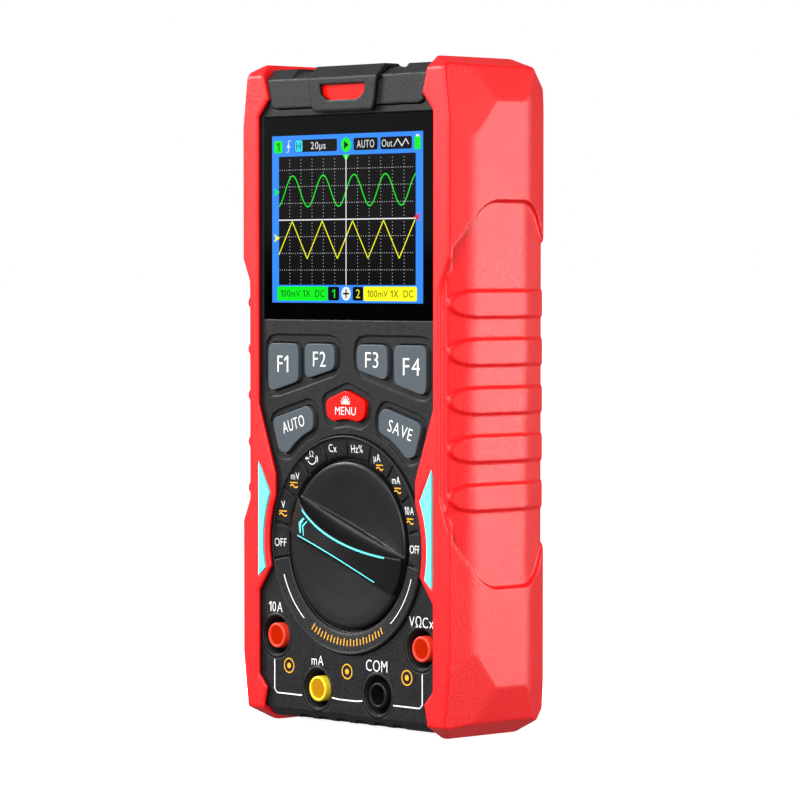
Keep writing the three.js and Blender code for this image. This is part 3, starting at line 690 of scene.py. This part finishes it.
KEY_LEGENDS = [  # key, legend, its middle across and up, height, turn in radians, width factor
    ("key_f1", "F1", -27.3, 106.3, 4.9, 0, 0.87),
    ("key_f2", "F2", -11.3, 107.9, 4.4, 0, 0.93),
    ("key_f3", "F3", 11.2, 108, 4.5, 0, 1),
    ("key_f4", "F4", 27.8, 106.3, 5, 0, 1.02),
    ("key_auto", "AUTO", -22.7, 88.6, 3.4, 0.28, 0.67),
    ("key_save", "SAVE", 23.1, 88, 3.5, -0.28, 0.82),
    ("key_menu", "MENU", 0, 93, 2.35, 0, 0.98),
]
KEY_PRINT = 0.04  # how far a key's legend reaches into and out of its front


def write_key(bm, node, text, x, z, height, turn, narrow):
    """A key's legend; the menu key has a lamp over it."""
    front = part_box(node)[0].y / MM - FACE
    letters(bm, text, x, z, height, front + KEY_PRINT, front - KEY_PRINT, turn, narrow)
    if node == "key_menu":
        lamp(bm, x, z + 2.9, front)


def make_key_legends():
    """The seven keys' legends, which move with their keys."""
    for node, *placed in KEY_LEGENDS:
        legend(node + "_legend", node, "white_ink", lambda bm: write_key(bm, node, *placed))


def lamp(bm, x, z, front):
    """A small lamp: a half disc with rays over it."""
    back, front = front + KEY_PRINT, front - KEY_PRINT
    slab(bm, arc(x, z - 0.55, 1.15, 0, 180, 12), back, front)
    box_slab(bm, x - 1.8, x + 1.8, z - 0.9, z - 0.55, back, front)
    for angle in range(15, 166, 25):
        ray = [arc(x, z - 0.6, reach, angle, angle, 1)[0] for reach in (1.4, 2.1)]
        ribbon(bm, ray, 0.24, back, front)


# ---------------- dial ring

RING_INNER = RING_OUTER - 6.4
SEPARATORS = [-10 + 20 * i for i in range(11)]


def ring_height(radius, angle, grooves=True):
    """How proud the ring stands: it slopes to the knob; cells are lower and parted by grooves."""
    t = (radius - RING_INNER) / (RING_OUTER - RING_INNER)
    height = 0.05 + 0.75 * t
    if -10 <= angle <= 190:
        height -= 0.38
        nearest = min(abs(angle - s) for s in SEPARATORS)
        if grooves and nearest < 0.5:
            height -= 0.45
    return height


def ring_angles():
    """Angles of the ring's cross-sections, closer together beside each groove."""
    angles = list(range(-10, 350, 2))
    for middle in SEPARATORS:
        angles += [middle + shift for shift in (-0.9, -0.48, 0.48, 0.9)]
    return sorted(angles)


def ring_profile(angle):
    """The ring's cross-section, as radius and height: a rounded inner edge, the slope, a raised rim."""
    profile = [(RING_INNER, -0.6)]
    for radius, drop in ((RING_INNER, 0.35), (RING_INNER + 0.25, 0.1)):
        profile.append((radius, ring_height(radius, angle) - drop))
    for i in range(5):
        radius = RING_INNER + 0.7 + (RING_OUTER - RING_INNER - 1.5) * i / 4
        profile.append((radius, ring_height(radius, angle)))
    rim = [(0.55, 0.98), (0.3, 0.95), (0, 0.65), (0, -0.6)]
    return profile + [(RING_OUTER - inwards, height) for inwards, height in rim]


def make_ring():
    """The dial ring around the knob."""
    bm = bmesh.new()
    loops = []
    for angle in ring_angles():
        cos, sin = math.cos(math.radians(angle)), math.sin(math.radians(angle))
        loops.append([spot(r * cos, -h, DIAL_Z + r * sin) for r, h in ring_profile(angle)])
    loft(bm, loops, closed=True)
    ring = mesh_object("ring_scale", bm)
    ring.data.shade_smooth()
    edges = ring.modifiers.new("edges", "EDGE_SPLIT")
    edges.split_angle = math.radians(40)
    finish_piece(ring, "case", "charcoal_case", ["dial_ring"])


def on_dial(radius, angle):
    """A place on the dial, across and up, from its radius and angle."""
    turn = math.radians(angle)
    return radius * math.cos(turn), DIAL_Z + radius * math.sin(turn)


def both_currents(bm, x, z, back, front):
    """The mark for direct and alternating: a line over a wave."""
    ribbon(bm, [(x - 1.5, z + 0.5), (x + 1.5, z + 0.5)], 0.32, back, front)
    wave = [(x + 1.5 * t, z - 0.55 - 0.42 * math.sin(math.pi * t)) for t in [i / 8 - 1 for i in range(17)]]
    ribbon(bm, wave, 0.36, back, front)


DIAL_CELLS = [  # angle, legend, height of its capitals, shift across and up, shift of the mark under it
    (0, "OFF", 2.35, 0, 0.1, None),
    (20, "10A", 2.25, -0.6, 1.3, -0.3),
    (40, "mA", 2.2, -1.1, 1.3, -0.6),
    (60, "µA", 2.2, -1.5, 1.1, -0.6),
    (80, "Hz%", 2.3, -0.7, 0, None),
    (100, "Cx", 2.3, -1.2, -0.1, None),
    (140, "mV", 2.1, -0.5, 0.95, -1.2),
    (160, "V", 2.2, -0.8, 1, -1),
    (180, "OFF", 2.35, -0.4, -0.5, None),
]
LEGEND_RADIUS = 28.6
ARC_RADIUS = 28.8


def lay_on_ring(bm):
    """Moves flat strokes onto the sloping ring: those in front of the face stand just over it."""
    for vert in bm.verts:
        x, z = vert.co.x / MM, vert.co.z / MM - DIAL_Z
        angle = (math.degrees(math.atan2(z, x)) + 90) % 360 - 90
        height = ring_height(math.hypot(x, z), angle, grooves=False)
        lift = 0.05 if vert.co.y / MM < FACE else -0.15
        vert.co.y = (FACE - height - lift) * MM


DIAL_INK = (0.1, -0.1)  # back and front of flat strokes before they are laid on the ring
TICKS = 23


def write_dial(bm):
    """The dial's white legends and the two arcs beside its lower scale."""
    for angle, text, height, across, up, _ in DIAL_CELLS:
        x, z = on_dial(LEGEND_RADIUS, angle)
        letters(bm, text, x + across, z + up, height, *DIAL_INK, narrow=0.8)
    x, z = on_dial(LEGEND_RADIUS, 120)
    draw_sounder(bm, x - 0.9, z, *DIAL_INK)
    for start, end in ((200, 231), (-17, -49)):
        ribbon(bm, arc(0, DIAL_Z, ARC_RADIUS, start, end, 24), 0.28, *DIAL_INK)
    lay_on_ring(bm)


def mark_dial(bm):
    """The dial's amber marks: one under each current or voltage, and a row of ticks at the bottom."""
    for angle, _, _, _, _, across in DIAL_CELLS:
        if across is not None:
            x, z = on_dial(LEGEND_RADIUS, angle)
            both_currents(bm, x + across, z - 1.5, *DIAL_INK)
    for i in range(TICKS):
        angle = 240 + 62 * i / (TICKS - 1)
        inner = 27.7 if i % 2 else 27.3
        ribbon(bm, [on_dial(inner, angle), on_dial(29.4, angle)], 0.36, *DIAL_INK)
    lay_on_ring(bm)


def make_dial_legends():
    """What is printed on the dial ring."""
    legend("dial_legends_white", "case", "white_ink", write_dial)
    legend("dial_legends_amber", "case", "amber_ink", mark_dial)


def draw_sounder(bm, x, z, back, front):
    """The mark for resistance and continuity: an ohm sign over a diode and a sounder's arcs."""
    letters(bm, "Ω", x, z + 1.3, 1.7, back, front)
    ribbon(bm, arc(x, z, 1.7, 205, 335, 12), 0.26, back, front)
    ribbon(bm, [(x - 2.6, z), (x - 1.0, z)], 0.24, back, front)
    slab(bm, [(x - 2.2, z - 0.5), (x - 1.3, z), (x - 2.2, z + 0.5)], back, front)
    for radius in (0.9, 1.5):
        ribbon(bm, arc(x + 0.9, z - 0.1, radius, -40, 40, 6), 0.24, back, front)


# ---------------- selector knob

KNOB_PROUD = FACE - cad_low.y / MM
DISC_FRONT = 0.1
BAR_BASE = 5.9
BAR_MIDDLE = 2.9
BAR_END = 5.85
BAR_TIP = 0.25


def bar_height(u):
    """How high the pointer bar stands over the disc, along its length."""
    t = min(abs(u) / KNOB_RADIUS, 1)
    return BAR_TIP + (KNOB_PROUD - DISC_FRONT - BAR_TIP - 0.1) * (1 - t * t) ** 0.8


def bar_half(u):
    """Half the width of the bar along its length: it is waisted."""
    t = u / KNOB_RADIUS
    return BAR_MIDDLE + (BAR_END - BAR_MIDDLE) * t * t


def knob_place(u, v, height):
    """A place on the knob: u along the bar towards its pointer, v across it, height over the disc."""
    turn = math.radians(KNOB_ANGLE)
    cos, sin = math.cos(turn), math.sin(turn)
    return spot(u * cos - v * sin, -DISC_FRONT - height, DIAL_Z + u * sin + v * cos)


def bar_section(u):
    """The outline of the bar across one place: concave walls up to a narrow top with round edges."""
    high, half = bar_height(u), bar_half(u)
    edge = min(0.4, high)
    reach = math.sqrt(max((KNOB_RADIUS - 0.35) ** 2 - u * u, 0.01))
    side = [(BAR_BASE, -1.5), (BAR_BASE, 0)]
    for k in range(1, 9):
        t = math.pi / 2 * k / 8
        side.append((half + (BAR_BASE - half) * (1 - math.sin(t)), (high - edge) * (1 - math.cos(t))))
    side += [(half - 0.12, high - edge / 4), (half - 0.4, high)]
    side = [(min(v, reach), h) for v, h in side]
    return side + [(-v, h) for v, h in reversed(side)]


def make_bar():
    """The pointer bar, through cross-sections that crowd towards its ends."""
    bm = bmesh.new()
    steps = 64
    stations = [-(KNOB_RADIUS - 0.4) * math.cos(math.pi * i / steps) for i in range(steps + 1)]
    loft(bm, [[knob_place(u, v, h) for v, h in bar_section(u)] for u in stations])
    return mesh_object("bar", bm)


def make_disc():
    """The knob's dished disc with its rounded rim."""
    profile = [(0.01, -1.9), (KNOB_RADIUS, -1.9), (KNOB_RADIUS, -0.9)]
    profile += arc(KNOB_RADIUS - 1.1, -1.1, 1.1, 15, 90, 5)
    profile += [(21, -0.1), (16, -0.45), (8, -0.85), (0.01, -1)]
    return lathe("disc", profile, spot(0, -DISC_FRONT, DIAL_Z), (0, -1, 0), 160)


def make_knob():
    """The selector knob: bar and disc as one moulded piece."""
    joined = bmesh.new()
    for obj in (make_bar(), make_disc()):
        joined.from_mesh(obj.data)
        bpy.data.objects.remove(obj)
    knob = mesh_object("knob_body", joined)
    soften(knob, 0.27, 4)
    finish_piece(knob, "selector", "knob_black", ["selector_knob"])


def top_line(bm, start, end, side, width, lift=0.09):
    """A painted line along one of the bar's top edges, from one place along the bar to another."""
    loops = []
    for i in range(41):
        u = start + (end - start) * i / 40
        v = side * (bar_half(u) - 0.55)
        high = bar_height(u)
        loops.append([knob_place(u, v + a, high + b) for a, b in
                      ((-width / 2, -0.25), (width / 2, -0.25), (width / 2, lift), (-width / 2, lift))])
    loft(bm, loops)


def write_knob_marks(bm):
    """Two lines along the bar and a double arrow at its pointer end, where u is positive."""
    top_line(bm, 17.9, -19.0, -1, 0.52)
    top_line(bm, 16.8, -17.9, 1, 0.3)
    for tip, thick in ((18, 1.5), (15.6, 0.7)):
        arrow = [(tip, 0.1), (tip - 2, -2.2), (tip - 2 - thick / 2, -2.2), (tip - thick, 0.1),
                 (tip - 2 - thick / 2, 2.4), (tip - 2, 2.4)]
        loft(bm, [[knob_place(u, v, bar_height(u) + lift) for u, v in arrow] for lift in (-0.2, 0.07)])


def make_knob_marks():
    """What is printed on the knob, which turns with it."""
    legend("knob_marks", "selector", "cyan_ink", write_knob_marks)


# ---------------- jacks

JACKS = {"10a": "jack_red", "ma": "yellow_plastic", "com": "pocket_black", "volt": "jack_red"}
JACK_SLOTS = {"10a": "red_plastic", "ma": "yellow_plastic", "com": "black_plastic", "volt": "red_plastic"}


# Cross-sections of a jack, as radius and height over the face
COLLAR = [(6.88, -1.6), (6.88, 0), (6.0, 0), (5.85, -0.06), (5.75, -0.3), (5.75, -1.6)]
WELL = [(6.6, -13.9), (6.6, -1.65), (5.74, -1.65), (5.74, -0.55), (5.5, -0.8), (5.45, -12.2),
        (3.8, -12.3), (3.8, -13.9)]
SLEEVE = [(3.72, -13.9), (3.72, -0.4), (3.6, -0.1), (3.35, 0), (3.05, 0), (2.9, -0.12), (2.86, -0.5),
          (2.4, -9), (2.4, -13.9)]
# a thin tube in the bore that glows, painting the shaded bore as lit
PAINTED_GLOW_TUBE = [(2.42, -9.1), (2.87, -0.6), (2.82, -0.5), (2.72, -0.7), (2.3, -9.1)]
CONTACT = [(2.15, -13.6), (2.15, -5.4), (2.0, -5.2), (1.85, -5.4), (1.85, -13.6)]


def jack_piece(part, jack, profile, material, replaces=()):
    """One turned piece of a jack."""
    x, z = node_middle("jack_" + jack)
    obj = lathe(f"jack_{part}_{jack}", profile, spot(x, 0, z), (0, -1, 0))
    finish_piece(obj, "case", material, replaces)


def make_jacks():
    """The four jacks: collar, well, coloured sleeve, a tube whose glow is painted light in the bore, and
    brass contact.
    """
    for jack, colour in JACKS.items():
        node, slot = "jack_" + jack, JACK_SLOTS[jack]
        jack_piece("collar", jack, COLLAR, "charcoal_case")
        jack_piece("well", jack, WELL, "pocket_black", [node])
        jack_piece("sleeve", jack, SLEEVE, colour, [node])
        if jack != "com":
            # painted light: the glowing tube shows the bore lit inside
            jack_piece("lining", jack, PAINTED_GLOW_TUBE, colour + "_lining")
        jack_piece("spring", jack, CONTACT, "brass", ["jack_contact_" + jack])


FACE_INK = (0.03, -0.05)  # back and front of what is printed on the face
JACK_LEGENDS = [  # legend, its middle across and up, height
    ("10A", -31.2, 34.1, 3),
    ("mA", -12.8, 19.4, 2.9),
    ("COM", 12.6, 19.5, 3.3),
    ("VΩCx", 31.3, 33.3, 3),
]
MARK_Z = 17


def write_jacks(bm):
    """The jacks' names and the lines that join them."""
    for text, x, z, height in JACK_LEGENDS:
        letters(bm, text, x, z, height, *FACE_INK, narrow=0.84)
    for side in (-1, 1):
        line = [(side * 31.7, 18.4), (side * 31.7, 9.6), (side * 30.6, 8.6), (side * 19.6, 8.6)]
        ribbon(bm, line, 0.4, *FACE_INK)
        ribbon(bm, [(side * 6.6, 8.9), (side * 3.4, 8.6), (0, 8.6)], 0.4, *FACE_INK)


def mark_jacks(bm):
    """A ringed dot between every two jacks."""
    for x in (-25.3, 0, 25.3):
        ring = circle(x, MARK_Z, 2.1, 32)
        ribbon(bm, ring + ring[:1], 0.35, *FACE_INK)
        slab(bm, circle(x, MARK_Z, 0.8, 24), *FACE_INK)


def make_jack_legends():
    """What is printed around the jacks."""
    legend("jack_legends_white", "case", "white_ink", write_jacks)
    legend("jack_marks_amber", "case", "amber_ink", mark_jacks)


# ---------------- display

SCREEN = {"half": 32.3, "bottom": 124.4, "top": 173.5}
PLOT = {"half": 29.3, "bottom": 129.6, "top": 167.4, "middle": 148.7, "division": 4.9}
LAYER = 0.02  # from one layer of the picture to the next
TRACE_WIDTH = 0.34
STATUS_Z = 170.4  # middles of the rows over and under the plot
FOOTER_Z = 127.1


def layer(level):
    """Back and front of a thin layer of the lit picture, counted up from the glass."""
    return GLASS_FRONT - LAYER * (level - 1) + 0.005, GLASS_FRONT - LAYER * level


def grid_lines():
    """Places of the plot's grid lines, without the middle ones."""
    step = PLOT["division"]
    upright = [step * i for i in range(-5, 6) if i]
    level = [PLOT["middle"] + step * i for i in range(-3, 4) if i]
    return upright, level


def draw_grid(bm, back, front):
    """The plot's dotted grid."""
    upright, level = grid_lines()
    half, dot = PLOT["half"], 0.12
    pitch = PLOT["division"] / 5
    for x in upright:
        for i in range(int((PLOT["top"] - PLOT["bottom"]) / pitch)):
            z = PLOT["bottom"] + pitch * (i + 0.5)
            box_slab(bm, x - dot, x + dot, z - dot, z + dot, back, front)
    for z in level:
        for i in range(int(2 * half / pitch)):
            x = -half + pitch * (i + 0.5)
            box_slab(bm, x - dot, x + dot, z - dot, z + dot, back, front)


TRACE_STEPS = 240


def sine_trace(low, high, period, peak):
    """A sine trace across the plot, with one of its peaks at a given place."""
    points = []
    for i in range(TRACE_STEPS + 1):
        x = -PLOT["half"] + 2 * PLOT["half"] * i / TRACE_STEPS
        turn = 2 * math.pi * (x - peak) / period
        points.append((x, low + (high - low) * (0.5 + 0.5 * math.cos(turn))))
    return points


def triangle_trace():
    """A triangle trace across the plot."""
    points = [(-29.3, 138.5)]
    for peak in (-23.4, -10.3, 2.8, 15.9):
        points += [(peak, 148.3), (peak + 6.55, 137.3)]
    return points + [(29.0, 148.3)]


def strokes(bm, points, width, back, front):
    """Straight lines between points, each a piece of its own, so that corners stay sharp."""
    for a, b in zip(points, points[1:]):
        ribbon(bm, [a, b], width, back, front)


def round_box(x0, x1, z0, z1, radius=0.7):
    """A rectangle with round corners."""
    return rounded([(x0, z0), (x1, z0), (x1, z1), (x0, z1)], radius, 4)


def arrow_mark(x, z, size, side):
    """A notched arrowhead that points to a side."""
    return [(x + side * size, z), (x - side * size, z + size * 0.9), (x - side * size * 0.4, z),
            (x - side * size, z - size * 0.9)]


def draw_backlight(bm, back, front):
    """The blue picture behind everything."""
    box_slab(bm, -SCREEN["half"], SCREEN["half"], SCREEN["bottom"], SCREEN["top"], back, front)


def draw_panels(bm, back, front):
    """The plot's black ground and the dark fields over and under it."""
    box_slab(bm, -PLOT["half"], PLOT["half"], PLOT["bottom"], PLOT["top"], back, front)
    for x0, x1 in ((-22.4, -3.9), (3.2, 13.4), (14.6, 27.7)):
        slab(bm, round_box(x0, x1, 168.6, 172.2), back, front)
    for x0, x1 in ((-7.8, -3.0), (2.8, 7.3)):
        slab(bm, round_box(x0, x1, 125.1, 129.1), back, front)


def draw_green(bm, back, front):
    """The first channel's fields, trace and marks, the running light and the battery."""
    slab(bm, round_box(-31.4, -27.7, 168.5, 172.1), back, front)
    slab(bm, round_box(-30.1, -7.9, 125, 129.2), back, front)
    slab(bm, circle(0, 170.3, 2.1, 40), back, front)
    box_slab(bm, 28.8, 31.3, 168.4, 172, back, front)
    ribbon(bm, sine_trace(152.55, 161.65, 13.3, 3.4), TRACE_WIDTH, back, front)
    slab(bm, arrow_mark(-30.3, 157, 1.35, 1), back, front)
    slab(bm, [(-1.5, 167.5), (0, 165.6), (1.5, 167.5)], back, front)


def draw_yellow(bm, back, front):
    """The second channel's field, trace and mark."""
    slab(bm, round_box(7.4, 29.8, 125, 129.2), back, front)
    strokes(bm, triangle_trace(), TRACE_WIDTH, back, front)
    slab(bm, arrow_mark(-30.2, 143.4, 1.35, 1), back, front)


def draw_white(bm, back, front):
    """The plot's middle lines and the white readings."""
    thin, middle = TRACE_WIDTH / 2, PLOT["middle"]
    box_slab(bm, -thin, thin, PLOT["bottom"], PLOT["top"], back, front)
    box_slab(bm, -PLOT["half"], PLOT["half"], middle - thin, middle + thin, back, front)
    slab(bm, circle(0, 127.1, 2.0, 40), back, front)
    box_slab(bm, 29.4, 30.8, 172, 172.6, back, front)
    letters(bm, "20µs", -12, STATUS_Z, 2.1, back, front, narrow=1.1)
    letters(bm, "AUTO", 8.3, STATUS_Z, 2.2, back, front, narrow=0.78)
    strokes(bm, [(20.2, 169.4), (21.8, 171.5), (23.6, 169.4), (25.2, 171.5), (26.4, 169.9)], 0.3, back, front)
    letters(bm, "Out", 17.4, STATUS_Z, 2.1, back, front, narrow=0.85)
    ribbon(bm, [(-26, 168.7), (-25, 168.7), (-25, 172), (-24, 172)], 0.28, back, front)
    slab(bm, [(-25.8, 170), (-24.2, 170), (-25, 171.2)], back, front)


def draw_cyan(bm, back, front):
    """The field behind the time base's letter."""
    slab(bm, round_box(-22.2, -18.9, 168.7, 172.1), back, front)


def draw_trigger(bm, back, front):
    """The mark of the trigger's level."""
    slab(bm, arrow_mark(29.8, 149.1, 1.35, -1), back, front)


def draw_ink(bm, back, front):
    """Dark legends on the coloured fields."""
    letters(bm, "1", -29.55, 170.3, 2.4, back, front, narrow=1.2)
    letters(bm, "H", -20.55, STATUS_Z, 2.2, back, front)
    slab(bm, [(-0.8, 169.1), (1.1, 170.3), (-0.8, 171.5)], back, front)
    for x in (-18.9, 18.7):
        letters(bm, "100mV 1X  DC", x, FOOTER_Z, 2, back, front)
    box_slab(bm, -1.3, 1.3, 126.85, 127.35, back, front)
    box_slab(bm, -0.25, 0.25, 125.8, 128.4, back, front)


def draw_channel_1(bm, back, front):
    """The first channel's number."""
    letters(bm, "1", -5.4, FOOTER_Z, 2.5, back, front, narrow=1.3)


def draw_channel_2(bm, back, front):
    """The second channel's number."""
    letters(bm, "2", 5.1, FOOTER_Z, 2.5, back, front, narrow=1.1)


SCREEN_PIECES = [  # piece, material, layer, what draws it
    ("screen_backlight", "screen_blue", 1, draw_backlight),
    ("screen_panels", "screen_black", 2, draw_panels),
    ("screen_green", "screen_green", 3, draw_green),
    ("screen_yellow", "screen_yellow", 3, draw_yellow),
    ("screen_white", "screen_white", 4, draw_white),
    ("screen_grid", "screen_grey", 3, draw_grid),
    ("screen_cyan", "screen_cyan", 3, draw_cyan),
    ("screen_trigger", "screen_red", 4, draw_trigger),
    ("screen_ink", "screen_black", 5, draw_ink),
    ("screen_channel_1", "screen_green", 4, draw_channel_1),
    ("screen_channel_2", "screen_yellow", 4, draw_channel_2),
]


def make_display():
    """The lit picture, in thin layers over the glass."""
    for name, material, level, draw in SCREEN_PIECES:
        legend(name, "case", material, lambda bm: draw(bm, *layer(level)))


# ---------------- signal sockets under the cover


# Cross-sections of a signal socket, as radius and height
SHELL = [(4.1, -3.6), (4.75, -3.6), (4.75, 0.1), (6.2, 0.1), (6.2, 1.8), (4.75, 1.9), (4.75, 11.5),
         (4.6, 11.8), (4.25, 11.8), (4.1, 11.6), (4.1, 4.5), (1.4, 4.5), (1.4, -3.6)]
CORE = [(0.6, 4.7), (1.15, 4.7), (1.15, 10.0), (0.95, 10.2), (0.6, 10.2)]


def make_signal_sockets():
    """Three bayonet sockets: shell, contact and two lugs each."""
    for node in ("signal_socket_1", "signal_socket_2", "generator_socket"):
        x, _ = node_middle(node)
        low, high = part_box(node)
        centre = spot(x, (low.y + high.y) / 2 / MM - FACE, low.z / MM + 4)
        shell = lathe(node + "_shell", SHELL, centre, (0, 0, 1))
        finish_piece(shell, "case", "steel", [node])
        contact = lathe(node + "_contact", CORE, centre, (0, 0, 1), 24)
        finish_piece(contact, "case", "brass")
        bm = bmesh.new()
        for side in (-1, 1):
            rod(bm, centre + Vector((side * 4.7, 0, 8)) * MM, (side, 0, 0), 0.95, 0.95)
        finish_piece(mesh_object(node + "_lugs", bm), "case", "steel")


# ---------------- studio


CAMERA_PLACE = (854.7, -787.6, 132.3)  # across, behind the front face, up
CAMERA_TURN = 46.58
CAMERA_DROP = 1.78
LENS = 179.9


def make_camera():
    """The photograph's view: a long lens from the right, a little over the middle."""
    data = bpy.data.cameras.new("camera")
    data.sensor_width = 36
    data.lens = LENS
    data.clip_end = 100
    camera = bpy.data.objects.new("camera", data)
    camera.location = spot(*CAMERA_PLACE)
    camera.rotation_euler = (math.radians(90 - CAMERA_DROP), 0, math.radians(CAMERA_TURN))
    bpy.context.scene.collection.objects.link(camera)
    bpy.context.scene.camera = camera


LIGHTS = [  # name, place and side in metres, power in watts
    ("side_light", (0.95, 0.9, -0.02), 0.6, 24),
    ("rim_light", (-1.0, -0.6, 0.74), 0.2, 15),
    ("front_light", (-1.0, -0.95, 0.35), 0.4, 3.4),
    ("top_light", (0.1, -1.0, 1.0), 0.6, 10),
    ("key_light", (0.5, -1.2, 0.45), 0.6, 15),
]
MIDDLE = Vector((0, 0, 0.1))  # of the instrument, where all lights point
FLOOR_GLOW = 0.92
SURROUND = 0.24
WHITE = (1, 1, 1, 1)


def make_light(name, place, side, power):
    """A square soft light that faces the instrument."""
    data = bpy.data.lights.new(name, "AREA")
    data.shape = "RECTANGLE"
    data.size = side
    data.size_y = side
    data.energy = power
    light = bpy.data.objects.new(name, data)
    light.location = Vector(place)
    light.rotation_euler = (MIDDLE - Vector(place)).to_track_quat("-Z", "Y").to_euler()
    bpy.context.scene.collection.objects.link(light)


def make_floor():
    """A pale glowing floor that neither lights the instrument nor shows in it."""
    bm = bmesh.new()
    bmesh.ops.create_grid(bm, x_segments=8, y_segments=8, size=30)
    floor = mesh_object("floor", bm)
    paint = grained("floor_white", linear(245, 245, 245), 0.9, 3, 0.0, 0.01, 0.1)
    shader = paint.node_tree.nodes["Principled BSDF"]
    shader.inputs["Emission Color"].default_value = WHITE
    shader.inputs["Emission Strength"].default_value = FLOOR_GLOW
    floor.data.materials.append(paint)
    floor.visible_diffuse = False
    floor.visible_glossy = False


def make_world():
    """A dim even surround that the camera sees as white."""
    world = bpy.data.worlds.new("studio")
    world.use_nodes = True
    nodes, links = world.node_tree.nodes, world.node_tree.links
    around = nodes["Background"]
    around.inputs["Color"].default_value = WHITE
    around.inputs["Strength"].default_value = SURROUND
    seen = nodes.new("ShaderNodeBackground")
    seen.inputs["Color"].default_value = WHITE
    mix = nodes.new("ShaderNodeMixShader")
    path = nodes.new("ShaderNodeLightPath")
    links.new(path.outputs["Is Camera Ray"], mix.inputs["Fac"])
    links.new(around.outputs["Background"], mix.inputs[1])
    links.new(seen.outputs["Background"], mix.inputs[2])
    links.new(mix.outputs["Shader"], nodes["World Output"].inputs["Surface"])
    bpy.context.scene.world = world


def make_studio():
    """The floor, the surround and five soft lights."""
    make_floor()
    make_world()
    bpy.context.scene.view_settings.view_transform = "Standard"
    for light in LIGHTS:
        make_light(*light)


make_camera()
dress_nodes()
make_armour()
make_ring()
make_knob()
make_knob_marks()
make_key_legends()
make_dial_legends()
make_jacks()
make_jack_legends()
make_display()
make_signal_sockets()
make_studio()
